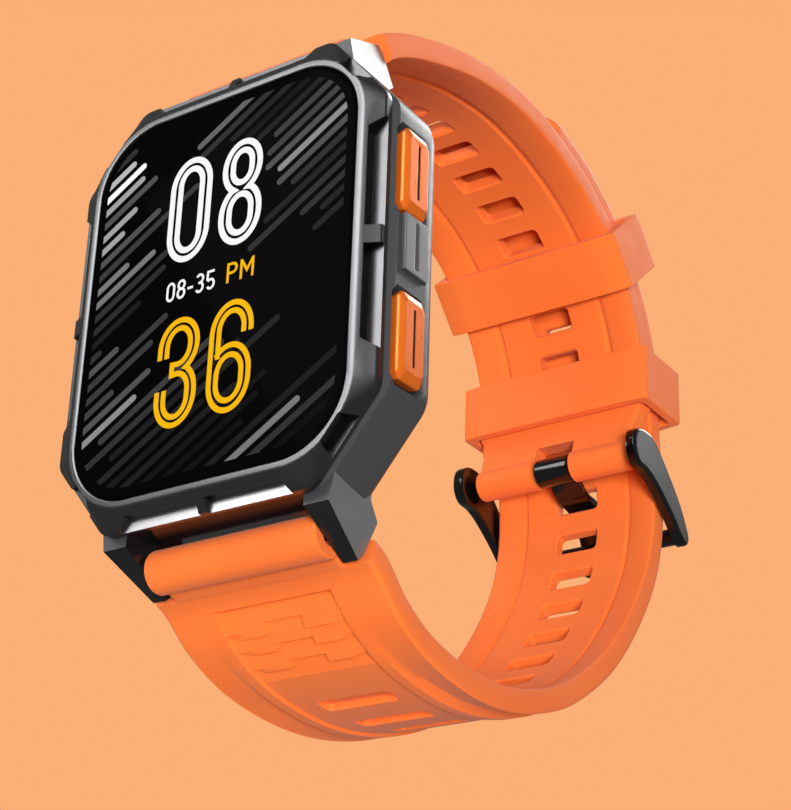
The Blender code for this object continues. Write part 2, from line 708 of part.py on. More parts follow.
def make_tail_strap(route):
    """Long strap: lug tube, shoulders, and slots from the lug side to the rounded tip."""
    total = route.total
    stations = [(1.0, 10.6, 3.0, 0.0), (SHOULDER_START, 10.6, 3.0, 0.0),
                (SHOULDER_START + 0.02, SHOULDER_HALF, 3.0, 0.0)]
    distance = 6.0
    while distance < total - 6.5:
        channel = CHANNEL_DEPTH if 12.0 < distance else 0.0
        stations.append((distance, tail_width(distance, total), TAIL_THICK, channel))
        distance += 3.0
    for left in (6.0, 4.5, 3.0, 1.6, 0.6, 0.0):
        stations.append((total - left, tail_width(total - left, total), TAIL_THICK, 0.0))
    rings = [strap_section(route, *station) for station in stations]
    strap = loft("tail_strap", rings, "orange_silicone")
    join(strap, strap_tube("tail_strap_lug_tube", -PIVOT[0], PIVOT[1], *STRAP_TUBE))
    cut(strap, cylinder("tail_strap_bore", (0, -PIVOT[0], PIVOT[1]), STRAP_BORE, 40.0,
                        segments=20))
    tongue = route.nearest(TONGUE_SLOT_Y, total * 0.4, total * 0.75)
    places = [tongue + SLOT_PITCH * k for k in range(-6, 8)]
    cut(strap, slot_cutter("tail_strap_slots", route, places))
    set_origin(strap, *PIVOT)
    return smooth(strap)


def make_keeper(name, route, station):
    """A rectangular loop round both straps."""
    lift = (BUCKLE_THICK / 2 + LAYER_GAP + TAIL_THICK / 2) / 2
    distance = route.total - station
    point, along, away = route.frame(distance)
    middle = point + away * lift
    turn = math.atan2(along.y, along.x)
    size = (2 * KEEPER_HALF, KEEPER_LENGTH, KEEPER_DEPTH)
    keeper = box(name, (0, middle.x, middle.y), size, "orange_silicone", turn)
    bevel(keeper, 0.35, 1)
    opening = (2 * KEEPER_OPENING[0], KEEPER_LENGTH + 4.0, KEEPER_OPENING[1])
    cut(keeper, box(name + "_opening", (0, middle.x, middle.y), opening, None, turn))
    return keeper


# ---------------------------------------------------------------- buckle

def capsule(first, radius_first, last, radius_last, steps=8):
    """Outline round two circles of unlike size, in the YZ plane."""
    a, b = Vector(first), Vector(last)
    heading = math.atan2(b.y - a.y, b.x - a.x)
    lean = math.acos((radius_first - radius_last) / (b - a).length)
    points = []
    for k in range(steps + 1):
        angle = heading + lean + (2 * math.pi - 2 * lean) * k / steps
        points.append(a + Vector((math.cos(angle), math.sin(angle))) * radius_first)
    for k in range(steps + 1):
        angle = heading - lean + 2 * lean * k / steps
        points.append(b + Vector((math.cos(angle), math.sin(angle))) * radius_last)
    return points


def make_buckle():
    plan = capsule(PIN, EYE_RADIUS, FRAME_BAR, BAR_THICK)
    arms = []
    for side, sx in (("left", -1), ("right", 1)):
        rings = [[(sx * x, p.x, p.y) for p in plan] for x in (ARM_INNER, ARM_OUTER)]
        arms.append((side, sx, rings))
    frame = loft("buckle_frame", arms[0][2], "black_gloss")
    join(frame, loft("frame_arm_right", arms[1][2]),
         cylinder("frame_cross_bar", (0, *FRAME_BAR), BAR_THICK - 0.05, 2 * ARM_INNER + 1.0,
                  segments=20))
    for side, sx in (("left", -1), ("right", 1)):
        cut(frame, cylinder("frame_eye_" + side, (sx * 12.4, *PIN), PIN_RADIUS + 0.06, 1.3,
                            segments=16))
    set_origin(frame, *PIN)
    smooth(frame)
    pin = cylinder("buckle_pin", (0, *PIN), PIN_RADIUS, 2 * 12.85, 'X', "steel", 16)
    set_origin(pin, *PIN)
    smooth(pin)


def tongue_outline():
    """Side view of the tongue: an eye round the pin, then a blade out over the bar."""
    spine = Route([(4.1, -58.4), (TONGUE_SLOT_Y + 0.05, -60.9), (TONGUE_SLOT_Y - 0.45, -63.6),
                   (-0.6, -66.3), (-3.9, -67.75), (-6.2, -68.0)])
    outer, inner = [], []
    count = 12
    for k in range(count + 1):
        distance = spine.total * k / count
        point, along, _ = spine.frame(distance)
        across = Vector((-along.y, along.x))
        half = 0.55 if k < count else 0.35
        outer.append(point + across * half)
        inner.append(point - across * half)
    return outer + inner[::-1]


def make_tongue():
    tongue = cylinder("buckle_tongue", (0, *PIN), 1.85, 2 * TONGUE_HALF, 'X', "black_gloss")
    plan = tongue_outline()
    blade = [[(x, p.x, p.y) for p in plan] for x in (-2.1, 2.1)]
    join(tongue, loft("tongue_blade", blade))
    cut(tongue, cylinder("tongue_eye", (0, *PIN), PIN_RADIUS + 0.08, 10.0, segments=16))
    set_origin(tongue, *PIN)
    return smooth(tongue)


# ---------------------------------------------------------------- assembly

def main():
    make_bezel()
    make_mid_case()
    make_side_insert()
    make_glass_stack()
    make_back()
    make_internals()
    for name, centre in BUTTON_CENTRES.items():
        make_button(name, centre)
    make_spring_bar("upper_bar", PIVOT[0], retracted=False)
    make_spring_bar("lower_bar", -PIVOT[0], retracted=True)
    buckle_route, tail_route = build_routes()
    make_buckle_strap(buckle_route)
    make_tail_strap(tail_route)
    for name, station in KEEPER_STATIONS.items():
        make_keeper(name, buckle_route, station)
    make_buckle()
    make_tongue()


main()
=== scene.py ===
"""Looks of the GPS running watch: square rugged case, silicone strap, pin buckle.

Same frame as the CAD: +X is the button side, +Y twelve o'clock, +Z out of the screen,
and the origin is on the wrist face.  Shapes are written in millimetres.
"""
import math

import bmesh
import bpy
from mathutils import Matrix, Vector


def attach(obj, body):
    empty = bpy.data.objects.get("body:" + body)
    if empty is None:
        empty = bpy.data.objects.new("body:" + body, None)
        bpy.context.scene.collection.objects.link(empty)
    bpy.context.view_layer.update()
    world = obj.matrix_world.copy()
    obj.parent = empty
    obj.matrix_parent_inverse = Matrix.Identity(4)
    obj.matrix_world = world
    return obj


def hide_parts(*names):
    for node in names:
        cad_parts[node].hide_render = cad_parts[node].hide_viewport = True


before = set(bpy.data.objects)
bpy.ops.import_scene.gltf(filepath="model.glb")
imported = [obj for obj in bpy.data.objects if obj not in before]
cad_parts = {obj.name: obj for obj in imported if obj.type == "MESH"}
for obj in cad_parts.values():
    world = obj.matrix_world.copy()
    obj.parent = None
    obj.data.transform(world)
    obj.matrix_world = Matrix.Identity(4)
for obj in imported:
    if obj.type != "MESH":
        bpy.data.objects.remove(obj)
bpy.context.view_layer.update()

MM = 0.001
SCENE = bpy.context.scene

# Case, as in the CAD: heights above the wrist face and half sizes.
GLASS_TOP = 13.0
GLASS_THICK = 1.1
GLASS_HALF = (17.0, 21.85)
GLASS_RADIUS = 7.5
BEZEL_BASE = 11.0
BEZEL_EDGE = 12.0
BEZEL_HALF = (20.0, 25.0)
CHAMFER = (7.15, 8.8)
DECK_TOP = 10.9
DECK_BOTTOM = 9.9
CASE_HALF = (20.6, 24.5)
CASE_BASE = 2.6
CAVITY_HALF = (17.4, 20.6)
CAVITY_CHAMFER = (10.0, 9.5)
BACK_HALF = (19.2, 23.2)
BACK_FACE = 0.5
SENSOR_RADIUS = 9.0
EMITTER_PITCH = 1.6
RECESS_DEPTH = 1.6
RECESS_FLOOR = 11.5
RECESS_SLANT = 1.1
BRIDGE_HALF = 1.0
SCREW_PLACES = [(11.5, 14.2), (-11.5, 14.2), (-11.5, -14.2), (11.5, -14.2)]
CONTACT_PLACES = {"left": (-3.2, -13.2), "right": (3.2, -13.2)}
WINDOW_HALF = (15.8, 20.6)
INSERT_PLACE = (0.3, 7.3)
# The glass edge as (how far in, how far below the top).
GLASS_EDGE = ((0.0, GLASS_THICK), (0.0, 0.34), (0.04, 0.16), (0.16, 0.05), (0.36, 0.01))

BUTTON_CENTRES = {"upper_button": 8.3, "lower_button": -10.1}
BUTTON_HEIGHT = 7.9
BUTTON_HALF = (4.7, 2.1)
BUTTON_FACE = 21.4
STEM_RADIUS = 0.75
STEM_END = 16.6
STEM_ROOT = 20.2

PIVOT = (27.3, 5.7)
LUG_SPAN = (11.0, 13.3)
LUG_TAPER = (0.17, 0.09)
LUG_HOLE = (0.55, 12.4)
LUG_HOLE_START = 10.5
# Side view of a lug as (towards the case, up) from the pivot.
LUG_PROFILE = [(4.6, 4.6), (1.4, 4.7), (-2.2, -2.0), (-1.4, -2.8), (2.2, -4.2),
               (3.9, -2.3), (9.0, -2.3), (9.0, 4.6)]
LUGS = (("upper_right", 1, 1), ("upper_left", -1, 1), ("lower_right", 1, -1),
        ("lower_left", -1, -1))
SIDES = (("left", -1), ("right", 1))

# Strap and buckle, as in the CAD.
STRAP_TUBE = (2.3, 10.7)
STRAP_BORE = 1.0
SHOULDER_HALF = 13.5
ROOT_HALF = 10.6
ROOT_ROWS = (1.0, 2.2, 3.47)
TAIL_END_HALF = 11.6
TAIL_TIP = 6.0
BUCKLE_END_HALF = 12.2
BUCKLE_ROOT_THICK = 3.2
LOOP_CENTRE = (1.8, -23.0)
BUCKLE_THICK = 3.0
TAIL_THICK = 2.8
LAYER_GAP = 0.35
SLOT_PITCH = 5.9
SLOT_SIZE = (5.8, 2.8)
CHANNEL_DEPTH = 0.5
BLIND_SLOT_PLACES = (22.7, 29.3, 36.0, 42.7)
BLIND_SLOT_SIZE = (9.0, 2.5)
PIN = (4.5, -56.6)
BUCKLE_ROUTE = [
    PIVOT, (31.0, 0.9), (34.4, -5.7), (38.3, -16.6), (39.8, -28.3), (37.7, -40.5),
    (33.2, -49.4), (26.9, -55.1), (19.8, -58.4), (12.2, -58.7), PIN,
]
TAIL_ROUTE = [
    (-PIVOT[0], PIVOT[1]), (-28.8, 0.9), (-32.3, -3.6), (-34.9, -9.8), (-36.0, -19.0),
    (-35.0, -28.2), (-31.8, -38.0), (-26.9, -46.2), (-22.2, -51.6), (-16.1, -56.7),
    (-9.7, -60.5), (-3.1, -62.4), (3.6, -62.6),
]
TAIL_OVERLAP = 51.0
TONGUE_SLOT_Y = 2.2
KEEPER_HALF = 13.7
KEEPER_OPENING = (12.55, 7.9)
KEEPER_DEPTH = 10.4
KEEPER_LENGTH = 7.5
KEEPER_STATIONS = {"keeper_fixed": 10.9, "keeper_free": 28.2}
FRAME_BAR = (-3.8, -65.8)
ARM_INNER = 11.95
ARM_OUTER = 13.45
BAR_THICK = 1.15
PIN_RADIUS = 0.75
PIN_TUBE = (2.0, 11.2)
NOTCH_HALF = 2.75
TONGUE_HALF = 2.45
# The tongue's eye as (in from its end, radius), its blade as (half width, edge taken off).
TONGUE_EYE = ((0.0, 1.62), (0.08, 1.76), (0.26, 1.85))
TONGUE_BLADE = ((2.1, 0.14), (1.96, 0.03), (1.85, 0.0))


# ---------------------------------------------------------------- mesh helpers

CUTTERS = bpy.data.collections.new("cutters")
SCENE.collection.children.link(CUTTERS)
MADE = []


def new_object(name, bm, helper=False):
    bmesh.ops.recalc_face_normals(bm, faces=bm.faces)
    mesh = bpy.data.meshes.new(name)
    bm.to_mesh(mesh)
    bm.free()
    made = bpy.data.objects.new(name, mesh)
    (CUTTERS if helper else SCENE.collection).objects.link(made)
    if helper:
        MADE.append(made)
    return made


def skin(bm, rings, closed=False):
    """Loft between rings of equal point count, capped at the ends or joined round."""
    loops = [[bm.verts.new(Vector(p) * MM) for p in ring] for ring in rings]
    count = len(loops[0])
    pairs = list(zip(loops, loops[1:]))
    if closed:
        pairs.append((loops[-1], loops[0]))
    for low, high in pairs:
        for i in range(count):
            j = (i + 1) % count
            bm.faces.new((low[i], low[j], high[j], high[i]))
    if not closed:
        bm.faces.new(loops[0])
        bm.faces.new(loops[-1])
    return bm


def loft(name, rings, closed=False, helper=False):
    return new_object(name, skin(bmesh.new(), rings, closed), helper=helper)


def cylinder(name, centre, radius, length, axis='X', segments=48, helper=True):
    bm = bmesh.new()
    bmesh.ops.create_cone(bm, cap_ends=True, segments=segments, radius1=radius * MM,
                          radius2=radius * MM, depth=length * MM)
    turn = {'X': Matrix.Rotation(math.radians(90), 4, 'Y'),
            'Y': Matrix.Rotation(math.radians(90), 4, 'X'),
            'Z': Matrix.Identity(4)}[axis]
    place = Matrix.Translation(Vector(centre) * MM) @ turn
    bmesh.ops.transform(bm, verts=bm.verts, matrix=place)
    return new_object(name, bm, helper=helper)


def cuboid(bm, centre, size, turn=0.0):
    place = (Matrix.Translation(Vector(centre) * MM) @ Matrix.Rotation(turn, 4, 'X')
             @ Matrix.Diagonal((*(Vector(size) * MM), 1.0)))
    bmesh.ops.create_cube(bm, size=1.0, matrix=place)
    return bm


def box(name, centre, size, turn=0.0, helper=True):
    return new_object(name, cuboid(bmesh.new(), centre, size, turn), helper=helper)


def boolean(target, operation, *others):
    for other in others:
        step = target.modifiers.new(other.name, 'BOOLEAN')
        step.operation = operation
        step.solver = 'EXACT'
        step.object = other


def cut(target, *others):
    boolean(target, 'DIFFERENCE', *others)


def join(target, *others):
    boolean(target, 'UNION', *others)


def bake(item):
    """Apply every modifier."""
    graph = bpy.context.evaluated_depsgraph_get()
    graph.update()
    shape = bpy.data.meshes.new_from_object(item.evaluated_get(graph),
                                            preserve_all_data_layers=True,
                                            depsgraph=graph)
    old = item.data
    item.modifiers.clear()
    item.data = shape
    bpy.data.meshes.remove(old)
    return item


def soften(item, width, segments=3, angle=35.0):
    """Round the hard edges, so that they catch the light."""
    bake(item)
    bm = bmesh.new()
    bm.from_mesh(item.data)
    bmesh.ops.remove_doubles(bm, verts=bm.verts, dist=0.002 * MM)
    bmesh.ops.dissolve_limit(bm, angle_limit=math.radians(0.6), verts=bm.verts,
                             edges=bm.edges, delimit={'MATERIAL'})
    bm.to_mesh(item.data)
    bm.free()
    step = item.modifiers.new("bevel", 'BEVEL')
    step.width = width * MM
    step.segments = segments
    step.limit_method = 'ANGLE'
    step.angle_limit = math.radians(angle)
    step.use_clamp_overlap = True
    step.miter_outer = 'MITER_ARC'
    return bake(item)


def shade(item, angle=35.0):
    item.data.shade_smooth()
    item.data.set_sharp_from_angle(angle=math.radians(angle))
    step = item.modifiers.new("weighted", 'WEIGHTED_NORMAL')
    step.keep_sharp = True
    step.weight = 80
    return bake(item)


def paint(item, *materials):
    item.data.materials.clear()
    for material in materials:
        item.data.materials.append(material)
    return item


def settle(item, body, material=None, node=None):
    """Finish a piece: its material, its body and the CAD node it stands for."""
    if material:
        paint(item, material)
    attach(item, body)
    if node:
        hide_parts(node)


def paint_faces(item, chosen, slot=1):
    """Give faces another material where chosen(centre in mm, normal) says so."""
    for face in item.data.polygons:
        if chosen(face.center / MM, face.normal):
            face.material_index = slot


def outline(half, chamfer, radius, z, steps=8):
    """A chamfered rectangle with rounded corners at height z."""
    hx, hy = half
    lx, ly = chamfer
    quarter = [(hx, hy - ly), (hx - lx, hy)]
    corners = []
    for sx, sy in ((1, 1), (-1, 1), (-1, -1), (1, -1)):
        pair = [(sx * x, sy * y) for x, y in quarter]
        corners += pair if sx * sy > 0 else pair[::-1]
    points = []
    count = len(corners)
    for i, corner in enumerate(corners):
        here = Vector(corner)
        back = (Vector(corners[i - 1]) - here).normalized()
        ahead = (Vector(corners[(i + 1) % count]) - here).normalized()
        half_angle = back.angle(ahead) / 2.0
        reach = radius / math.tan(half_angle)
        centre = here + (back + ahead).normalized() * (radius / math.sin(half_angle))
        first = here + back * reach - centre
        last = here + ahead * reach - centre
        sweep = first.angle_signed(last)
        for k in range(steps + 1):
            turned = Matrix.Rotation(-sweep * k / steps, 2) @ first
            point = centre + turned
            points.append((point.x, point.y, z))
    return points


def rounded(half, radius, z, steps=8):
    """A rectangle with round corners, with the same point count as outline()."""
    leg = radius * (2.0 - math.sqrt(2.0))
    return outline(half, (leg, leg), radius * 0.999, z, steps)


def grown(half, amount):
    return (half[0] + amount, half[1] + amount)


def on_button(ring, centre):
    """Turn a ring drawn flat so that it faces +X at a button."""
    return [(h, centre + a, BUTTON_HEIGHT + b) for a, b, h in ring]


def between(first, last, share, z):
    """A ring part way between two rings, at height z."""
    return [(a[0] + (b[0] - a[0]) * share, a[1] + (b[1] - a[1]) * share, z)
            for a, b in zip(first, last)]


def spline(knots, per_span):
    """A smooth curve through the knots, from the second to the last but one."""
    points = []
    for p0, p1, p2, p3 in zip(knots, knots[1:], knots[2:], knots[3:]):
        for k in range(per_span):
            t = k / per_span
            points.append(0.5 * (2 * p1 + (p2 - p0) * t
                                 + (2 * p0 - 5 * p1 + 4 * p2 - p3) * t * t
                                 + (3 * p1 - p0 - 3 * p2 + p3) * t ** 3))
    return points


class Route:
    """A smooth curve in the YZ plane, measured by its length."""

    def __init__(self, points, per_span=24):
        knots = [Vector(p) for p in points]
        ends = [knots[0] * 2 - knots[1]] + knots + [knots[-1] * 2 - knots[-2]]
        self.points = spline(ends, per_span) + [knots[-1]]
        self.lengths = [0.0]
        for a, b in zip(self.points, self.points[1:]):
            self.lengths.append(self.lengths[-1] + (b - a).length)
        self.total = self.lengths[-1]

    def at(self, distance):
        distance = min(max(distance, 0.0), self.total)
        for i, (a, b) in enumerate(zip(self.lengths, self.lengths[1:])):
            if distance <= b:
                return self.points[i].lerp(self.points[i + 1], (distance - a) / (b - a))
        return self.points[-1]

    def frame(self, distance):
        """The point, the direction of travel and the direction away from the wrist."""
        point = self.at(distance)
        reach = 0.6
        along = (self.at(distance + reach) - self.at(distance - reach)).normalized()
        away = Vector((-along.y, along.x))
        if away.dot(point - Vector(LOOP_CENTRE)) < 0:
            away = -away
        return point, along, away

    def offset(self, distance, amount):
        point, _, away = self.frame(distance)
        return point + away * amount

    def nearest(self, y, start, stop):
        steps = 400
        places = [start + (stop - start) * k / steps for k in range(steps + 1)]
        return min(places, key=lambda d: abs(self.at(d).x - y))


def build_routes():
    buckle = Route(BUCKLE_ROUTE)
    lift = BUCKLE_THICK / 2 + LAYER_GAP + TAIL_THICK / 2
    knots = [Vector(p) for p in TAIL_ROUTE]
    reach = 9.0
    while reach <= TAIL_OVERLAP:
        knots.append(buckle.offset(buckle.total - reach, lift))
        reach += 3.5
    return buckle, Route(knots)


# ---------------------------------------------------------------- materials

class Finish:
    """A Principled material whose colour, roughness and bump come from noise."""

    def __init__(self, name, color, rough=(0.4, 0.5), metallic=0.0, **constants):
        self.material = bpy.data.materials.new(name)
        self.material.use_nodes = True
        self.tree = self.material.node_tree
        self.shader = self.tree.nodes["Principled BSDF"]
        self.place = self.add('ShaderNodeTexCoord').outputs["Object"]
        self.set("Metallic", metallic)
        for key, value in constants.items():
            self.set(key.replace("_", " "), value)
        self.set("Base Color", (*color, 1.0))
        self.color = tuple(color)
        self.rough = rough
        self.height = None
        self.set("Roughness", sum(rough) / 2)

    def add(self, kind, **inputs):
        node = self.tree.nodes.new(kind)
        for key, value in inputs.items():
            node.inputs[key.replace("_", " ")].default_value = value
        return node

    def link(self, source, target):
        self.tree.links.new(source, target)

    def set(self, name, value):
        self.shader.inputs[name].default_value = value

    def noise(self, scale, detail=4.0, rough=0.55, stretch=None):
        node = self.add('ShaderNodeTexNoise', Scale=scale, Detail=detail, Roughness=rough)
        source = self.place
        if stretch:
            mapping = self.add('ShaderNodeMapping', Scale=stretch)
            self.link(source, mapping.inputs["Vector"])
            source = mapping.outputs["Vector"]
        self.link(source, node.inputs["Vector"])
        return node.outputs["Fac"]

    def spread(self, source, low, high, start=0.3, stop=0.7):
        """Map a 0 to 1 pattern to a range."""
        node = self.add('ShaderNodeMapRange', From_Min=start, From_Max=stop, To_Min=low,
                        To_Max=high)
        self.link(source, node.inputs["Value"])
        return node.outputs["Result"]

    def vary(self, source, other, start=0.3, stop=0.7):
        """Colour runs from the base to another colour with a pattern."""
        mix = self.add('ShaderNodeMix')
        mix.data_type = 'RGBA'
        self.link(self.spread(source, 0.0, 1.0, start, stop), mix.inputs[0])
        mix.inputs[6].default_value = (*self.color, 1.0)
        mix.inputs[7].default_value = (*other, 1.0)
        self.link(mix.outputs[2], self.shader.inputs["Base Color"])

    def gloss(self, source):
        self.link(self.spread(source, *self.rough), self.shader.inputs["Roughness"])

    def bump(self, source, depth, strength=1.0):
        node = self.add('ShaderNodeBump', Strength=strength, Distance=depth * MM)
        self.link(source, node.inputs["Height"])
        if self.height:
            self.link(self.height, node.inputs["Normal"])
        self.height = node.outputs["Normal"]
        self.link(self.height, self.shader.inputs["Normal"])


def plain(name, color, other, rough, metallic=0.0, patches=(180.0,), wear=(900.0,),
          grains=(), span=(0.3, 0.7), stretch=None, **constants):
    """A finish whose colour, roughness and surface each follow a noise.

    patches and wear are (scale, detail) of a noise, grains (scale, detail, depth).
    """
    made = Finish(name, color, rough, metallic, **constants)
    made.vary(made.noise(*patches), other, *span)
    made.gloss(made.noise(*wear, stretch=stretch))
    for scale, detail, depth in grains:
        made.bump(made.noise(scale, detail), depth)
    return made.material


def silicone(name, grain):
    return plain(name, (0.95, 0.195, 0.036), (0.93, 0.172, 0.031), (0.48, 0.60),
                 patches=(60.0,), wear=(900.0, 3.0),
                 grains=((9000.0, 2.0, grain), (350.0, 2.0, 0.010)),
                 Specular_IOR_Level=0.12, Sheen_Weight=0.08, Sheen_Roughness=0.5)


def turned_metal(name, color, other, rough):
    return plain(name, color, other, rough, 1.0, grains=((3000.0, 3.0, 0.002),),
                 stretch=(8.0, 1.0, 1.0))


def circuit_board():
    made = Finish("circuit_board", (0.012, 0.085, 0.040), (0.35, 0.55))
    tracks = made.add('ShaderNodeTexBrick', Scale=420.0, Mortar_Size=0.03)
    made.link(made.place, tracks.inputs["Vector"])
    made.vary(tracks.outputs["Fac"], (0.30, 0.42, 0.16), 0.1, 0.9)
    made.gloss(made.noise(500.0))
    made.bump(tracks.outputs["Fac"], 0.02)
    return made.material


def battery_pouch():
    made = Finish("battery_pouch", (0.62, 0.63, 0.66), (0.30, 0.48), 0.85)
    creases = made.add('ShaderNodeTexVoronoi', Scale=160.0)
    made.link(made.place, creases.inputs["Vector"])
    made.vary(made.noise(70.0), (0.52, 0.53, 0.56))
    made.gloss(made.noise(300.0))
    made.bump(creases.outputs["Distance"], 0.05, 0.4)
    return made.material


def sensor_glass():
    """Dark window with three faint rings of emitters under it."""
    made = Finish("sensor_glass", (0.004, 0.004, 0.005), (0.05, 0.10), Coat_Weight=0.4)
    length = made.add('ShaderNodeVectorMath')
    length.operation = 'LENGTH'
    flat = made.add('ShaderNodeMapping', Scale=(1.0, 1.0, 0.0))
    made.link(made.place, flat.inputs["Vector"])
    made.link(flat.outputs["Vector"], length.inputs[0])
    ring = made.add('ShaderNodeMath')
    ring.operation = 'PINGPONG'
    ring.inputs[1].default_value = EMITTER_PITCH * MM
    made.link(length.outputs["Value"], ring.inputs[0])
    scaled = made.add('ShaderNodeMath')
    scaled.operation = 'MULTIPLY'
    scaled.inputs[1].default_value = 1.0 / (EMITTER_PITCH * MM)
    made.link(ring.outputs[0], scaled.inputs[0])
    made.vary(scaled.outputs[0], (0.030, 0.034, 0.040), 0.82, 0.95)
    made.gloss(made.noise(300.0))
    return made.material


def display_finish(name):
    """The unlit ground that the lit parts of the display share."""
    made = Finish(name, (0.0, 0.0, 0.0), (0.10, 0.14), **GLASS_REFLECTION)
    made.gloss(made.noise(300.0))
    made.vary(made.noise(300.0), (0.001, 0.001, 0.001))
    return made


def lit(name, color):
    """A lit part of the display, with the faint mesh of its picture elements."""
    made = display_finish(name)
    cells = made.add('ShaderNodeTexVoronoi', Scale=9000.0)
    made.link(made.place, cells.inputs["Vector"])
    made.set("Emission Color", (*color, 1.0))
    made.link(made.spread(cells.outputs["Distance"], 1.0, 0.9, 0.0, 1.0),
              made.shader.inputs["Emission Strength"])
    return made.material


def stripe_light():
    """Grey bars whose brightness is stored on the mesh."""
    made = display_finish("lit_stripes")
    tone = made.add('ShaderNodeVertexColor')
    tone.layer_name = "tone"
    made.link(tone.outputs["Color"], made.shader.inputs["Emission Color"])
    made.set("Emission Strength", 1.0)
    return made.material


GLASS_REFLECTION = {"Specular_IOR_Level": 0.05, "IOR": 1.08}
SILICONE = silicone("silicone", 0.0035)
SILICONE_GRAIN = silicone("silicone_grained", 0.014)
GUNMETAL = plain("gunmetal", (0.150, 0.151, 0.156), (0.140, 0.141, 0.146), (0.28, 0.32), 1.0,
                 (90.0,), (500.0, 3.0), ((4200.0, 2.0, 0.0008),))
CASE_SHELL = plain("case_shell", (0.050, 0.051, 0.054), (0.085, 0.086, 0.090), (0.36, 0.46),
                   0.0, (2400.0, 2.0), (700.0, 3.0), ((5200.0, 2.0, 0.004),),
                   span=(0.66, 0.78), Specular_IOR_Level=0.5)
# Painted light: a lighter metal for the outer sides of the lugs, its lightness set to how lit
# they look.
LUG_SIDE_PAINTED_LIGHT = plain("lug_side_painted_light", (0.26, 0.26, 0.265), (0.24, 0.24, 0.245), (0.34, 0.40), 0.5,
                  (90.0,), (700.0, 3.0), ((4200.0, 2.0, 0.0015),))
# Gloss black for the back cover; on the case it is also painted shade on the walls between and
# in front of the lugs.
GLOSS_BLACK_AND_PAINTED_SHADE = plain("gloss_black_and_painted_shade", (0.006, 0.006, 0.007), (0.010, 0.010, 0.011),
                    (0.08, 0.16), 0.0, (150.0,), (420.0,), ((1800.0, 3.0, 0.0015),),
                    Specular_IOR_Level=0.4, Coat_Weight=0.2, Coat_Roughness=0.08)
COVER_GLASS = plain("cover_glass", (0.0015, 0.0015, 0.0018), (0.002, 0.002, 0.0022),
                    (0.03, 0.06), 0.0, (40.0,), (260.0,), **GLASS_REFLECTION)
BUCKLE_BLACK = plain("buckle_black", (0.030, 0.030, 0.032), (0.022, 0.022, 0.024),
                     (0.10, 0.18), 0.9, (200.0,), (600.0,), ((2200.0, 3.0, 0.0015),),
                     stretch=(8.0, 1.0, 1.0), Coat_Weight=0.6, Coat_Roughness=0.08)
BUCKLE_FACE = plain("buckle_satin", (0.24, 0.24, 0.245), (0.20, 0.20, 0.205), (0.30, 0.42),
                    0.9, (200.0,), grains=((3600.0, 2.0, 0.002),), stretch=(1.0, 6.0, 1.0))
INSERT = plain("insert_satin", (0.20, 0.20, 0.205), (0.17, 0.17, 0.175), (0.34, 0.44), 0.6,
               (200.0,), grains=((3600.0, 2.0, 0.003),))
ORANGE_METAL = plain("orange_metal", (0.98, 0.200, 0.018), (0.95, 0.175, 0.015),
                     (0.27, 0.32), 0.45, (140.0,), (800.0, 3.0), ((4200.0, 2.0, 0.0008),),
                     Specular_IOR_Level=0.6)
STEEL = turned_metal("steel", (0.56, 0.56, 0.57), (0.48, 0.48, 0.49), (0.22, 0.36))
GOLD = turned_metal("gold_plate", (0.83, 0.60, 0.24), (0.76, 0.53, 0.20), (0.18, 0.30))
# Painted highlight: a bright metal that stands for the light caught by the bezel's recess
# floors at six o'clock.
FLOOR_PAINTED_HIGHLIGHT = turned_metal("floor_painted_highlight_metal", (0.80, 0.80, 0.81), (0.74, 0.74, 0.75),
                        (0.30, 0.36))
# Rubber for the seals; in the button slits it is painted shade.
RUBBER_AND_SLIT_SHADE = plain("seal_rubber_and_slit_shade", (0.016, 0.016, 0.017), (0.024, 0.024, 0.025), (0.62, 0.82),
               0.0, (500.0,), grains=((4200.0, 2.0, 0.006),))
CERAMIC = plain("antenna_ceramic", (0.70, 0.66, 0.56), (0.60, 0.56, 0.47), (0.38, 0.52),
                0.0, (400.0, 6.0), grains=((2800.0, 4.0, 0.006),))
BOARD = circuit_board()
POUCH = battery_pouch()
SENSOR = sensor_glass()
LIT_WHITE = lit("lit_white", (1.0, 1.0, 1.0))
LIT_AMBER = lit("lit_amber", (1.0, 0.52, 0.005))
STRIPE_LIGHT = stripe_light()

# CAD nodes shown as they are, by material.
CARRIED_OVER = (
    (COVER_GLASS, "display_panel"),
    (SENSOR, "sensor_window"),
    (BOARD, "sensor_board main_board"),
    (GOLD, "charging_contact_left charging_contact_right"),
    (POUCH, "battery"),
    (CERAMIC, "gps_antenna"),
    (BUCKLE_BLACK, "buckle_pin"),
    (RUBBER_AND_SLIT_SHADE, "glass_gasket case_gasket speaker upper_button_seal lower_button_seal"),
    (STEEL, "display_bracket case_screw_1 case_screw_2 case_screw_3 case_screw_4 "
            "vibration_motor upper_button_clip lower_button_clip upper_switch lower_switch "
            "upper_bar_barrel upper_bar_spring upper_bar_tip_left upper_bar_tip_right "
            "lower_bar_barrel lower_bar_spring lower_bar_tip_left lower_bar_tip_right"),
)


def finish_carried_nodes():
    for material, names in CARRIED_OVER:
        for name in names.split():
            paint(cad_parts[name], material)


# ---------------------------------------------------------------- case

def recess(bm, start, stop, depth, edge, place):
    """A notch open at the rim, its ends slanting out; place maps (along, out) to XY."""
    slant = RECESS_SLANT
    first = 0.0 if abs(start) <= BRIDGE_HALF else slant * math.copysign(1, start)
    last = 0.0 if abs(stop) <= BRIDGE_HALF else slant * math.copysign(1, stop)
    plan = [(start - first, edge - depth), (stop - last, edge - depth),
            (stop + last * 0.5, edge + 1.0), (start + first * 0.5, edge + 1.0)]
    rings = [[(*place(a, o), z) for a, o in plan] for z in (RECESS_FLOOR, GLASS_TOP + 1.0)]
    skin(bm, rings)


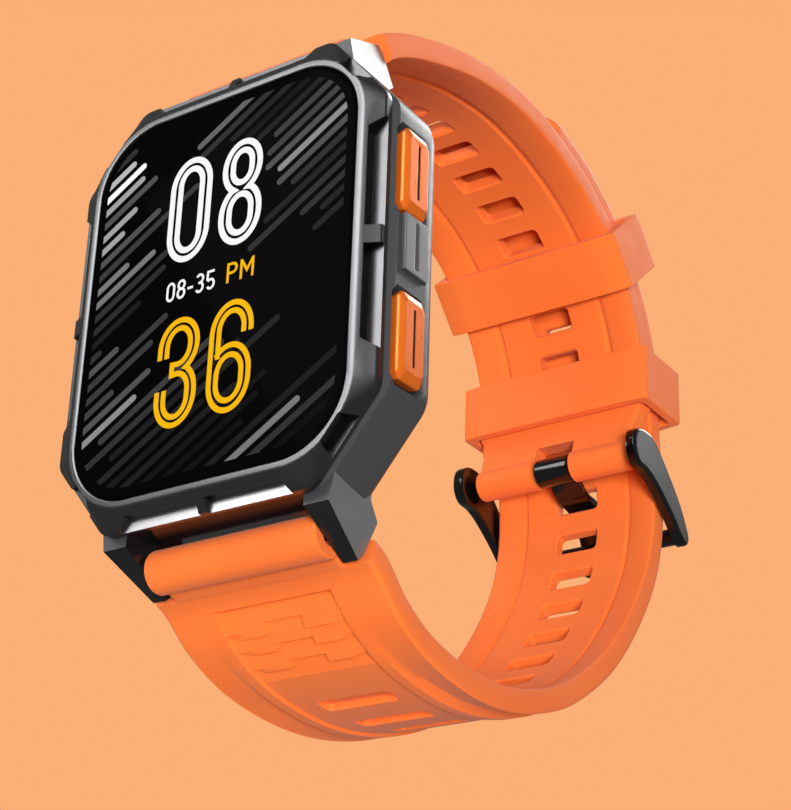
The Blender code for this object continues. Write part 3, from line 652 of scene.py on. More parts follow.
def bezel_recesses():
    bm = bmesh.new()
    for side in (1, -1):
        for start, stop in ((BRIDGE_HALF, 13.5), (-BRIDGE_HALF, -12.3)):
            recess(bm, start, stop, RECESS_DEPTH, BEZEL_HALF[0],
                   lambda a, o, side=side: (side * o, a))
        for start, stop in ((0.5, 10.8), (-0.5, -10.8)):
            recess(bm, start, stop, RECESS_DEPTH - 0.25, BEZEL_HALF[1],
                   lambda a, o, side=side: (a, side * o))
    corner = Vector((BEZEL_HALF[0] - CHAMFER[0] / 2, BEZEL_HALF[1] - CHAMFER[1] / 2))
    along = Vector((CHAMFER[0], -CHAMFER[1])).normalized()
    out = Vector((-along.y, along.x))
    for sx in (1, -1):
        for sy in (1, -1):
            def place(a, o, sx=sx, sy=sy):
                point = corner + along * a + out * o
                return (sx * point.x, sy * point.y)
            recess(bm, -2.6, 2.6, 1.15, 0.0, place)
    return new_object("bezel_recess_cutter", bm, helper=True)


def make_bezel():
    inner = grown(GLASS_HALF, 0.1)
    rim = outline(grown(BEZEL_HALF, -0.2), CHAMFER, 2.0, BEZEL_EDGE)
    lip = rounded(grown(inner, 0.95), GLASS_RADIUS + 1.05, GLASS_TOP - 0.12)
    rings = [
        outline(BEZEL_HALF, CHAMFER, 2.0, BEZEL_BASE),
        outline(BEZEL_HALF, CHAMFER, 2.0, BEZEL_EDGE - 0.15),
        rim,
        between(rim, lip, 0.5, BEZEL_EDGE + 0.40),
        lip,
        rounded(grown(inner, 0.62), GLASS_RADIUS + 0.72, GLASS_TOP),
        rounded(grown(inner, 0.22), GLASS_RADIUS + 0.32, GLASS_TOP),
        rounded(inner, GLASS_RADIUS + 0.1, GLASS_TOP - 0.16),
        rounded(inner, GLASS_RADIUS + 0.1, BEZEL_BASE),
    ]
    bezel = loft("bezel", rings, closed=True)
    cut(bezel, bezel_recesses())
    soften(bezel, 0.07, 2, 38)
    paint(bezel, GUNMETAL, FLOOR_PAINTED_HIGHLIGHT)
    # Painted highlight: the upward floors of the six o'clock recesses take the bright metal
    # (slot 1).
    paint_faces(bezel, lambda middle, normal: (
        abs(middle.z - RECESS_FLOOR) < 0.05 and normal.z > 0.95
        and abs(middle.x) < 12.5 and middle.y < -22.5))
    shade(bezel, 40)
    settle(bezel, "case", node="bezel_ring")


def lug_blocks():
    made = []
    for side, sx, sy in LUGS:
        rings = []
        for x, taper, lean in ((LUG_SPAN[0], 0.0, 0.0), (LUG_SPAN[1], *LUG_TAPER)):
            rings.append([(sx * (x + taper * dy + lean * dz), sy * (PIVOT[0] - dy),
                           PIVOT[1] + dz) for dy, dz in LUG_PROFILE])
        made.append(loft("lug_" + side, rings, helper=True))
    return made


def button_pockets():
    bm = bmesh.new()
    size = grown(BUTTON_HALF, 0.4)
    for centre in BUTTON_CENTRES.values():
        skin(bm, [on_button(outline(grown(size, extra), (0.85, 0.65), 0.3, x, steps=4), centre)
                  for x, extra in ((19.2, 0.0), (20.0, 0.0), (21.2, 0.35))])
    return new_object("button_pocket_cutter", bm, helper=True)


def lug_holes():
    radius, stop = LUG_HOLE
    middle = (LUG_HOLE_START + stop) / 2
    return [cylinder("lug_hole_" + side, (sx * middle, sy * PIVOT[0], PIVOT[1]), radius,
                     stop - LUG_HOLE_START, segments=24) for side, sx, sy in LUGS]


def make_mid_case():
    rings = [
        outline(grown(CASE_HALF, -1.2), (6.9, 8.5), 4.0, CASE_BASE),
        outline(grown(CASE_HALF, -0.45), (7.2, 8.8), 3.7, 3.5),
        outline(CASE_HALF, (7.3, 8.9), 3.5, 4.6),
        outline(CASE_HALF, (7.3, 8.9), 3.0, 10.3),
        outline((20.1, 24.3), (7.2, 8.7), 2.6, DECK_TOP),
    ]
    case = loft("mid_case_shell", rings)
    join(case, *lug_blocks())
    cut(case, loft("cavity_cutter", [outline(CAVITY_HALF, CAVITY_CHAMFER, 2.0, z)
                                     for z in (0.0, DECK_BOTTOM)], helper=True))
    cut(case, loft("window_cutter", [rounded(WINDOW_HALF, 6.2, z)
                                     for z in (9.0, 12.0)], helper=True))
    cut(case, button_pockets(), *lug_holes())
    for name, centre in BUTTON_CENTRES.items():
        cut(case, cylinder(name + "_bore", (18.5, centre, BUTTON_HEIGHT),
                           STEM_RADIUS + 0.1, 4.0, segments=24))
    cut(case, box("insert_seat_cutter", (20.7, *INSERT_PLACE), (1.0, 6.6, 4.2)))
    soften(case, 0.12, 2, 30)
    # Slot 1, the gloss black, is painted shade on the walls below; slot 2 is painted light on
    # the lug sides.
    paint(case, CASE_SHELL, GLOSS_BLACK_AND_PAINTED_SHADE, LUG_SIDE_PAINTED_LIGHT)

    # Painted shade: the end walls between the lugs and the front faces of the lugs take the
    # darker gloss black (slot 1).
    def shade_painted_walls(middle, normal):
        between_lugs = abs(middle.x) < 11.4 and abs(middle.y) > 22.5
        return between_lugs or (abs(middle.y) > 25.6 and 0.2 < abs(normal.y))

    # Painted light: the outer sides of the lugs take the lighter metal (slot 2).
    def lug_sides(middle, normal):
        beside = abs(middle.y) > 23.4 and 11.6 < abs(middle.x) and middle.z < 10.2
        return beside and abs(normal.x) > 0.9 and not shade_painted_walls(middle, normal)

    paint_faces(case, lug_sides, 2)
    paint_faces(case, shade_painted_walls)
    shade(case, 32)
    settle(case, "case", node="mid_case")


def make_side_insert():
    plate = box("side_plate", (20.63, *INSERT_PLACE), (0.74, 6.3, 3.9), helper=False)
    cut(plate, box("insert_slit_cutter", (21.0, *INSERT_PLACE), (0.8, 5.2, 0.45)))
    soften(plate, 0.12, 3, 30)
    shade(plate, 35)
    settle(plate, "case", INSERT, "side_insert")


def make_glass():
    glass = loft("cover_glass", [
        rounded(grown(GLASS_HALF, -less), GLASS_RADIUS - less, GLASS_TOP - drop)
        for less, drop in GLASS_EDGE])
    shade(glass, 50)
    settle(glass, "case", COVER_GLASS, "front_glass")


def make_back():
    stages = ((3.2, (6.4, 7.6), BACK_FACE), (1.7, (6.8, 8.1), BACK_FACE + 0.2),
              (0.6, (7.0, 8.4), BACK_FACE + 0.9), (0.0, (7.1, 8.5), CASE_BASE - 0.1))
    cover = loft("back_shell", [outline(grown(BACK_HALF, -less), chamfer, 4.0, z)
                                for less, chamfer, z in stages])
    cut(cover, cylinder("sensor_opening", (0, 0, 1.5), SENSOR_RADIUS + 0.1, 4.0, 'Z', 80))
    for i, (x, y) in enumerate(SCREW_PLACES, start=1):
        cut(cover, cylinder(f"screw_hole_{i}", (x, y, 1.5), 0.65, 4.0, 'Z', 20))
        cut(cover, cylinder(f"screw_seat_{i}", (x, y, 0.75), 1.2, 1.1, 'Z', 28))
    for side, (x, y) in CONTACT_PLACES.items():
        cut(cover, cylinder(f"contact_hole_{side}", (x, y, 1.5), 1.3, 4.0, 'Z', 28))
    soften(cover, 0.08, 2, 40)
    shade(cover, 35)
    settle(cover, "case", GLOSS_BLACK_AND_PAINTED_SHADE, "back_cover")


def make_button(name, centre):
    """Faceted cap with a slit, and its stem."""
    stages = ((19.75, (-0.15, -0.15), 0.4), (20.75, (0.0, 0.0), 0.45),
              (21.0, (-0.1, -0.1), 0.45), (BUTTON_FACE, (-0.9, -0.5), 0.35))
    rings = []
    for x, (extra_y, extra_z), corner in stages:
        half = (BUTTON_HALF[0] + extra_y, BUTTON_HALF[1] + extra_z)
        rings.append(on_button(outline(half, (corner + 0.2, corner), 0.25, x, steps=2),
                               centre))
    cap = loft(name + "_cap", rings)
    join(cap, cylinder(name + "_stem", ((STEM_END + STEM_ROOT) / 2, centre, BUTTON_HEIGHT),
                       STEM_RADIUS, STEM_ROOT - STEM_END, segments=32))
    cut(cap, box(name + "_slit", (BUTTON_FACE, centre, BUTTON_HEIGHT), (0.8, 6.2, 0.4)))
    soften(cap, 0.07, 3, 22)
    paint(cap, ORANGE_METAL, RUBBER_AND_SLIT_SHADE)
    # Painted shade: the walls of the button's slit take the dark rubber (slot 1).
    paint_faces(cap, lambda middle, normal: (
        20.6 < middle.x < BUTTON_FACE - 0.12 and abs(middle.z - BUTTON_HEIGHT) < 0.21
        and abs(middle.y - centre) < 3.15))
    shade(cap, 24)
    settle(cap, name, node=name)


# ---------------------------------------------------------------- display

PLATE_LOW = GLASS_TOP - 0.03
PLATE_HIGH = GLASS_TOP
STRIPE_HIGH = GLASS_TOP - 0.004
ACTIVE_HALF = (16.0, 20.7)
ACTIVE_RADIUS = 6.5
STRIPE_TOP = 18.89
STRIPE_PITCH = 1.6125
STRIPE_SLOPE = 0.6
STRIPE_WIDTH = 0.75
EDGE = 30.0

# Each diagonal row of the dial: bars as (start x, end x, tone), counted from the middle.
STRIPES = {
    -5: [(-EDGE, -12.3, .30)], -4: [(-EDGE, -12.3, .65)], -3: [(-EDGE, -10.8, .85)],
    -2: [(-EDGE, -10.8, .60)], -1: [(-EDGE, -9.0, .40)],
    0: [(-EDGE, -11.5, .60), (-3.6, 4.0, .45)],
    1: [(-EDGE, -13.0, .60), (-3.6, 7.0, .30)],
    2: [(-EDGE, -8.1, .40), (0.9, 9.5, .25)],
    3: [(-EDGE, -3.0, .33), (3.0, 11.0, .20)],
    4: [(-EDGE, -11.9, .50), (4.5, 13.0, .25)],
    5: [(-EDGE, -8.3, .50), (6.7, EDGE, .35)],
    6: [(-EDGE, -6.5, .30), (6.0, EDGE, .35)],
    7: [(-EDGE, -6.7, .28), (5.9, EDGE, .40)],
    8: [(-EDGE, -9.7, .22), (7.5, EDGE, .55)],
    9: [(-EDGE, -14.6, .30), (7.5, EDGE, .40)],
    10: [(-EDGE, -12.2, .40), (9.3, EDGE, .30)],
    11: [(-EDGE, -5.8, .33), (6.1, EDGE, .25)],
    12: [(-EDGE, -7.5, .33), (4.3, EDGE, .30)],
    13: [(-EDGE, -12.3, .35), (10.7, EDGE, .30)],
    14: [(-EDGE, -7.5, .40), (13.2, EDGE, .25)],
    15: [(-EDGE, -9.1, .55), (12.4, EDGE, .25)],
    16: [(-13.7, 0.5, .33)], 17: [(-EDGE, 2.0, .30)], 18: [(-11.9, 4.0, .22)],
    19: [(-EDGE, 8.9, .25)], 20: [(-EDGE, 0.0, .20)], 21: [(-EDGE, 4.0, .22)],
    22: [(-EDGE, 7.6, .18)], 23: [(-EDGE, 6.8, .16)], 24: [(-EDGE, 5.1, .16)],
    25: [(-EDGE, EDGE, .22)], 26: [(-EDGE, 11.9, .50)], 27: [(-EDGE, EDGE, .30)],
    28: [(-EDGE, EDGE, .15)],
}


def clip(polygon, edge_from, edge_to):
    """Keep the part of a convex polygon to the left of a line."""
    ax, ay = edge_from
    dx, dy = edge_to[0] - ax, edge_to[1] - ay
    kept = []
    for p, q in zip(polygon, polygon[1:] + polygon[:1]):
        side_p = dx * (p[1] - ay) - dy * (p[0] - ax)
        side_q = dx * (q[1] - ay) - dy * (q[0] - ax)
        if side_p >= 0:
            kept.append(p)
        if side_p * side_q < 0:
            share = side_p / (side_p - side_q)
            kept.append((p[0] + (q[0] - p[0]) * share, p[1] + (q[1] - p[1]) * share))
    return kept


def make_stripes():
    """Slanting bars of the dial's background, cut to the lit area."""
    border = [(x, y) for x, y, _ in rounded(ACTIVE_HALF, ACTIVE_RADIUS, 0.0)]
    area = sum(p[0] * q[1] - q[0] * p[1] for p, q in zip(border, border[1:] + border[:1]))
    if area < 0:
        border.reverse()
    slope = Vector((1.0, STRIPE_SLOPE)).normalized()
    side = Vector((-slope.y, slope.x))
    radius = STRIPE_WIDTH / 2
    bm = bmesh.new()
    layer = bm.loops.layers.color.new("tone")
    for row, bars in STRIPES.items():
        level = STRIPE_TOP - STRIPE_PITCH * row
        for start, stop, tone in bars:
            low = Vector((start, level + STRIPE_SLOPE * start)) + slope * radius
            high = Vector((stop, level + STRIPE_SLOPE * stop)) - slope * radius
            shape = []
            for centre, turn in ((high, -90), (low, 90)):
                for k in range(9):
                    angle = math.radians(turn + 180 * k / 8)
                    point = (centre + slope * math.cos(angle) * radius
                             + side * math.sin(angle) * radius)
                    shape.append((point.x, point.y))
            for p, q in zip(border, border[1:] + border[:1]):
                if (Vector(p) - Vector(q)).length > 1e-6 and shape:
                    shape = clip(shape, p, q)
            if len(shape) < 3:
                continue
            before = len(bm.faces)
            clean = [shape[0]]
            for p in shape[1:]:
                if (Vector(p) - Vector(clean[-1])).length > 0.01:
                    clean.append(p)
            if (Vector(clean[0]) - Vector(clean[-1])).length < 0.01:
                clean.pop()
            skin(bm, [[(x, y, PLATE_LOW) for x, y in clean],
                      [(x, y, STRIPE_HIGH) for x, y in clean]])
            bm.faces.ensure_lookup_table()
            level_light = min(1.0, 1.5 * tone ** 1.67)
            for face in bm.faces[before:]:
                for corner in face.loops:
                    corner[layer] = (level_light, level_light, level_light * 1.01, 1.0)
    settle(new_object("dial_stripes", bm), "case", STRIPE_LIGHT)


def ellipse_loop(centre, half, start, stop, steps=48, lean=1.3):
    """Points of a tall rounded loop from one angle to another, in degrees."""
    a, b = half
    tall = min(b, lean * a)
    points = []
    for k in range(steps + 1):
        angle = math.radians(start + (stop - start) * k / steps)
        x, y = a * math.cos(angle), tall * math.sin(angle)
        shift = (b - tall) * (1 if math.sin(angle) > 1e-9 else -1)
        if abs(math.sin(angle)) < 1e-9:
            shift = 0.0
        points.append((centre[0] + x, centre[1] + y + shift))
    return points


def stroke(bm, points, width, closed=False):
    """A flat raised line along a path."""
    path = [Vector(points[0])]
    for p in points[1:]:
        if (Vector(p) - path[-1]).length > 0.01:
            path.append(Vector(p))
    if closed and (path[0] - path[-1]).length < 0.02:
        path.pop()
    count = len(path)
    rings = []
    for i, here in enumerate(path):
        back = path[i - 1] if (closed or i > 0) else None
        ahead = path[(i + 1) % count] if (closed or i < count - 1) else None
        first = (here - back).normalized() if back is not None else None
        last = (ahead - here).normalized() if ahead is not None else None
        first = first if first is not None else last
        last = last if last is not None else first
        middle = (first + last).normalized()
        normal = Vector((-middle.y, middle.x))
        stretch = 1.0 / max(0.45, normal.dot(Vector((-first.y, first.x))))
        reach = normal * (width / 2 * stretch)
        rings.append([(*(here + reach), PLATE_HIGH), (*(here - reach), PLATE_HIGH),
                      (*(here - reach), PLATE_LOW), (*(here + reach), PLATE_LOW)])
    skin(bm, rings, closed)


def loop(bm, centre, half, amount, width):
    stroke(bm, ellipse_loop(centre, grown(half, -amount), 0, 360, 96), width, closed=True)


def above(points, y):
    return [p for p in points if p[1] > y]


def below(points, y):
    return [p for p in points if p[1] < y]


def make_hours():
    """The upper pair of numerals, each drawn with a double line."""
    width, inner = 0.70, 1.39
    bm = bmesh.new()
    zero = ((-3.995, 9.535), (2.835, 6.275))
    loop(bm, *zero, width / 2, width)
    loop(bm, *zero, inner, width)
    top, bottom = ((2.795, 12.565), (2.625, 3.315)), ((2.84, 6.94), (2.79, 3.65))
    waist = 9.87
    upper = above(ellipse_loop(top[0], grown(top[1], -width / 2), -90, 270, 128), waist)
    lower = below(ellipse_loop(bottom[0], grown(bottom[1], -width / 2), 90, 450, 128), waist)
    stroke(bm, upper + lower, width, closed=True)
    loop(bm, *top, inner, width)
    loop(bm, *bottom, inner, width)
    settle(new_object("dial_hours", bm), "case", LIT_WHITE)


def make_minutes():
    """The lower pair of numerals."""
    width, inner = 0.61, 1.215
    bm = bmesh.new()
    top, bottom = ((-3.88, -6.505), (2.72, 3.245)), ((-3.88, -11.985), (2.72, 3.585))
    waist, open_top, open_bottom = -9.10, -7.60, -11.16
    left = -6.60

    def arc_top(amount, floor):
        path = ellipse_loop(top[0], grown(top[1], -amount), 180, -90, 96)
        path = [p for p in path if p[1] > floor or p[0] < left + 2]
        return [(left + amount, open_top)] + [p for p in path if p[1] > floor]

    def arc_bottom(amount, ceiling):
        path = ellipse_loop(bottom[0], grown(bottom[1], -amount), 90, -180, 96)
        return [p for p in path if p[1] < ceiling] + [(left + amount, open_bottom)]

    stroke(bm, arc_top(width / 2, waist) + arc_bottom(width / 2, waist), width)
    joint = -4.555
    stroke(bm, arc_top(inner, -9.5) + [(joint, -8.50), (joint, -9.66)]
           + arc_bottom(inner, -9.0), width)
    six = ((2.9, -9.285), (2.78, 6.215))
    bowl = ((2.9, -11.655), (2.78, 3.845))
    right, end = 5.68, -7.03
    big = ellipse_loop(six[0], grown(six[1], -width / 2), 0, 180, 64)
    big = [(right - width / 2, end)] + [p for p in big if p[1] > end - 0.1 or p[0] < 3]
    small = ellipse_loop(bowl[0], grown(bowl[1], -width / 2), 180, 500, 96)
    small = [p for p in small if p[0] > 1.05 or p[1] < -11.0]
    stroke(bm, big + small, width)
    stem = ellipse_loop(six[0], grown(six[1], -inner), 0, 180, 64)
    stem = [(right - inner, end)] + [p for p in stem if p[1] > -9.2] + [
        (six[0][0] - six[1][0] + inner, -9.35)]
    stroke(bm, stem, width)
    loop(bm, (2.9, -11.67), (1.565, 2.485), 0.0, width)
    settle(new_object("dial_minutes", bm), "case", LIT_AMBER)


def make_small_line():
    """The small date in white and the half-day mark in amber."""
    width = 0.28
    high, low = 1.23, -1.02
    middle = (high + low) / 2
    tall = (high - low) / 2 - width / 2
    wide = 0.575 - width / 2
    bm = bmesh.new()
    loop(bm, (-5.635, middle), (wide, tall), 0.0, width)
    upper_c, lower_c = (middle + tall * 0.53), (middle - tall * 0.47)
    loop(bm, (-4.225, upper_c), (wide * 0.92, tall * 0.47), 0.0, width)
    loop(bm, (-4.225, lower_c), (wide, tall * 0.53), 0.0, width)
    stroke(bm, [(-3.38, -0.05), (-2.66, -0.05)], width)
    three = -1.795
    stroke(bm, ellipse_loop((three, upper_c), (wide * 0.95, tall * 0.47), 150, -90, 40)
           + [(three - 0.15, middle + 0.04)], width)
    stroke(bm, [(three - 0.15, middle + 0.04)]
           + ellipse_loop((three, lower_c), (wide, tall * 0.53), 90, -150, 40), width)
    five = -0.35
    stroke(bm, [(five + wide, high - width / 2), (five - wide + 0.05, high - width / 2),
                (five - wide, middle + 0.12)]
           + ellipse_loop((five, lower_c), (wide, tall * 0.53), 125, -150, 48), width)
    settle(new_object("dial_date", bm), "case", LIT_WHITE)
    bm = bmesh.new()
    width = 0.30
    high, low = 1.34, -0.93
    stroke(bm, [(1.88, low), (1.88, high)], width)
    bowl = ellipse_loop((2.42, high - width / 2 - 0.52), (0.54, 0.52), 90, -90, 24)
    stroke(bm, [(1.88, high - width / 2)] + bowl + [(1.88, bowl[-1][1])], width)
    stroke(bm, [(3.59, low), (3.59, high - 0.02)], width)
    stroke(bm, [(3.59, high - 0.10), (4.325, -0.05), (5.06, high - 0.10)], width)
    stroke(bm, [(5.06, high - 0.02), (5.06, low)], width)
    settle(new_object("dial_half_day", bm), "case", LIT_AMBER)


# ---------------------------------------------------------------- straps

SCALES = {
    "middle": (8.65, 11.1, 13.5, 16.0),
    "wing": (9.9, 11.9, 14.4, 16.0),
    "end": (9.35, 11.45, 13.95, 16.0),
}
RAMPS = ((6.3, 9.9), (8.4, 11.9), (10.8, 14.4), (13.0, 17.5))
SCALE_DEEP = 1.05
SCALE_SHALLOW = 0.05
PANEL_SINK = 0.35
PANEL_START = 16.0
POCKET_START = 6.3


def share_between(value, low, high):
    return min(1.0, max(0.0, (value - low) / (high - low)))


def blend_between(value, low, high):
    share = share_between(value, low, high)
    return share * share * (3 - 2 * share)


def scale_height(zone, distance):
    """How far the overlapping scales sink below the strap's outer face."""
    if distance < POCKET_START:
        return 0.0
    if distance > PANEL_START:
        return -PANEL_SINK
    passed = sum(1 for step in SCALES[zone] if distance > step)
    share = share_between(distance, *RAMPS[passed])
    return -SCALE_DEEP + (SCALE_DEEP - SCALE_SHALLOW) * share


def outer_profile(distance, half_width, detailed):
    """Half of the outer face: (x, height above the middle surface's outer side)."""
    groove = 0.75 * blend_between(distance, 8.0, 24.0)
    groove *= 1.0 - 0.6 * blend_between(distance, 60.0, 90.0)
    zones = ("middle", "middle", "wing", "wing", "end")
    columns = (0.0, 2.25, 2.45, 5.4, 7.15)
    if detailed:
        points = [(x, scale_height(zone, distance)) for x, zone in zip(columns, zones)]
    else:
        sink = -0.30 * blend_between(distance, 8.0, 14.0)
        points = [(x, sink) for x in columns]
    rim = min(8.7, half_width - 3.0)
    points += [(7.4, 0.0), (rim, 0.0), (rim + 0.35, -groove * 0.55),
               (rim + 1.1, -groove), (half_width - 1.0, -groove * 0.35),
               (half_width - 0.42, -0.05)]
    return points


def inner_profile(half_width, channel):
    """Half of the wrist side, from the edge to the middle: (x, height above the face)."""
    edge = half_width - 0.45
    band = half_width - 2.4
    slope_end = half_width - 5.2
    return [(edge, 0.0), (band, channel * 0.05), (slope_end + 0.5, channel * 0.75),
            (slope_end, channel * 0.92), (slope_end - 0.35, channel * 1.45),
            (slope_end - 0.75, channel * 1.45), (slope_end - 1.1, channel),
            (4.7, channel), (4.4, channel * 1.25), (0.0, channel * 1.25)]


def visual_section(route, distance, half_width, thick, channel, detailed, squeeze=1.0):
    point, _, away = route.frame(distance)
    outer, inner = thick / 2, -thick / 2
    top = [(x, outer + h) for x, h in outer_profile(distance, SHOULDER_HALF, detailed)]
    side = [(SHOULDER_HALF - 0.10, outer - 0.30), (SHOULDER_HALF, outer - 0.70),
            (SHOULDER_HALF, inner + 0.60), (SHOULDER_HALF - 0.12, inner + 0.15)]
    low = [(x, inner + h) for x, h in inner_profile(SHOULDER_HALF, channel)]
    half = [(x * squeeze, n) for x, n in top + side + low]
    share = half_width / (SHOULDER_HALF * squeeze)
    if abs(share - 1.0) > 1e-6:
        # keep the middle columns where they are and draw the edges in
        half = [(x if x < 7.3 and share > 0.8 else 7.3 + (x - 7.3)
                 * (half_width - 7.3) / (SHOULDER_HALF - 7.3), n) if share > 0.8
                else (x * share, n) for x, n in half]
    mirrored = [(-x, n) for x, n in half[1:-1][::-1]]
    return [(x, *(point + away * n)) for x, n in half + mirrored]


def rounded_slot(bm, route, distance, size, levels):
    """A round-cornered slot cutter; levels are (height, growth) pairs."""
    point, along, away = route.frame(distance)
    rings = []
    for level, growth in levels:
        ring = rounded((size[0] / 2 + growth, size[1] / 2 + growth), 0.55 + growth, 0.0, 3)
        rings.append([(x, *(point + along * s + away * level)) for x, s, _ in ring])
    skin(bm, rings)


def slots(name, route, stations, size, thick, channel):
    bm = bmesh.new()
    floor = -thick / 2 + channel * 1.25
    levels = ((-6.0, 0.22), (floor - 0.02, 0.22), (floor + 0.22, 0.0),
              (thick / 2 - 0.62, 0.0), (thick / 2 - 0.36, 0.20), (6.0, 0.20))
    for distance in stations:
        rounded_slot(bm, route, distance, size, levels)
    return new_object(name, bm, helper=True)


def round_bar(name, centre, half, stages, helper=True):
    """A round bar along X; stages are (distance in from each end, radius)."""
    places = ([(-half + step, r) for step, r in stages]
              + [(half - step, r) for step, r in stages[::-1]])
    turns = [2 * math.pi * k / 56 for k in range(56)]
    return loft(name, [[(x, centre[0] + r * math.cos(turn), centre[1] + r * math.sin(turn))
                        for turn in turns] for x, r in places], helper=helper)


def tube_end(name, y, z, radius, half):
    """A round tube with softened ends."""
    return round_bar(name, (y, z), half,
                     ((0.0, radius - 0.3), (0.1, radius - 0.1), (0.3, radius)))


def mark_grain(strap, route, start, stop):
    """The flat panel of the outer face carries a coarser grain."""
    paint(strap, SILICONE, SILICONE_GRAIN)
    frames = [(route.frame(start + (stop - start) * k / 60), k) for k in range(61)]

    def on_panel(middle, normal):
        if abs(middle.x) > 7.1:
            return False
        place = Vector((middle.y, middle.z))
        (point, _, away), k = min(frames, key=lambda item: (item[0][0] - place).length)
        return 0 < k < 60 and (place - point).dot(away) > 0.6

    paint_faces(strap, on_panel)


def root_sections(route, thick):
    """The narrow start of a strap, inside the lugs."""
    return [visual_section(route, d, ROOT_HALF, thick, 0.0, False) for d in ROOT_ROWS]


def make_tail_strap(route):
    total = route.total

    def width(distance):
        share = share_between(distance, 5.0, 50.0)
        return SHOULDER_HALF + (TAIL_END_HALF - SHOULDER_HALF) * share

    sections = root_sections(route, 3.0)
    steps = [POCKET_START] + sorted({s for zone in SCALES.values() for s in zone})
    places = {3.5, 4.2, 5.2, 6.0}
    for step in steps:
        places |= {step - 0.03, step + 0.03}
    d = 6.8
    while d < total - 6.2:
        if all(abs(d - p) > 0.25 for p in places):
            places.add(d)
        d += 0.7 if d < 18 else 1.2
    for d in sorted(places):
        channel = CHANNEL_DEPTH * blend_between(d, 8.0, 14.0)
        sections.append(visual_section(route, d, width(d), TAIL_THICK, channel, d < 60))
    for left in (TAIL_TIP, 5.2, 4.2, 3.2, 2.2, 1.3, 0.6, 0.2, 0.0):
        d = total - left
        half = TAIL_END_HALF * math.sqrt(max(0.12, 1.0 - ((TAIL_TIP - left) / TAIL_TIP) ** 2))
        channel = CHANNEL_DEPTH * 0.9 * left / TAIL_TIP
        sections.append(visual_section(route, d, half, TAIL_THICK, channel, False))
    strap = loft("strap_tail", sections)
    join(strap, tube_end("tail_lug_tube", -PIVOT[0], PIVOT[1], *STRAP_TUBE))
    cut(strap, cylinder("tail_bore", (0, -PIVOT[0], PIVOT[1]), STRAP_BORE, 40.0))
    tongue = route.nearest(TONGUE_SLOT_Y, total * 0.4, total * 0.75)
    places = [tongue + SLOT_PITCH * k for k in range(-6, 8)]
    cut(strap, slots("tail_slots", route, places, SLOT_SIZE, TAIL_THICK, CHANNEL_DEPTH))
    bm = bmesh.new()
    top = TAIL_THICK / 2 - PANEL_SINK
    for distance in BLIND_SLOT_PLACES:
        rounded_slot(bm, route, distance, BLIND_SLOT_SIZE,
                     ((top - 0.75, -0.05), (top - 0.14, 0.0), (top + 0.02, 0.12), (6.0, 0.12)))
    cut(strap, new_object("blind_slots", bm, helper=True))
    bake(strap)
    mark_grain(strap, route, PANEL_START, 62.0)
    shade(strap, 33)
    settle(strap, "strap", node="tail_strap")


def make_buckle_strap(route):
    total = route.total
    sections = root_sections(route, BUCKLE_ROOT_THICK)
    d = 3.5
    while d < total - 7.0:
        share = share_between(d, 6.0, 56.0)
        half = SHOULDER_HALF + (BUCKLE_END_HALF - SHOULDER_HALF) * share
        thick = (BUCKLE_ROOT_THICK
                 + (BUCKLE_THICK - BUCKLE_ROOT_THICK) * blend_between(d, 3.5, 7.0))
        channel = CHANNEL_DEPTH * blend_between(d, 8.0, 14.0)
        channel *= 1.0 - blend_between(d, total - 14.0, total - 9.0)
        sections.append(visual_section(route, d, half, thick, channel, False))
        d += 1.2
    for left, half, thick in ((6.2, 11.6, 2.9), (5.0, 11.5, 2.8), (4.0, 11.15, 2.7),
                              (0.9, 11.15, 2.6)):
        sections.append(visual_section(route, total - left, half, thick, 0.0, False))
    strap = loft("strap_buckle_side", sections)
    join(strap, tube_end("buckle_strap_lug_tube", PIVOT[0], PIVOT[1], *STRAP_TUBE),
         tube_end("buckle_strap_pin_tube", PIN[0], PIN[1], *PIN_TUBE))
    cut(strap, cylinder("buckle_strap_bore", (0, *PIVOT), STRAP_BORE, 40.0),
        cylinder("buckle_strap_pin_bore", (0, *PIN), PIN_RADIUS + 0.1, 40.0),
        box("tongue_notch_cutter", (0, PIN[0] - 0.2, PIN[1]), (2 * NOTCH_HALF, 7.6, 8.0)))
    places = [total - 16.3 - SLOT_PITCH * k for k in range(10)]
    cut(strap, slots("buckle_strap_slots", route, places, SLOT_SIZE, BUCKLE_THICK,
                     CHANNEL_DEPTH))
    bake(strap)
    shade(paint(strap, SILICONE), 33)
    settle(strap, "strap", node="buckle_strap")


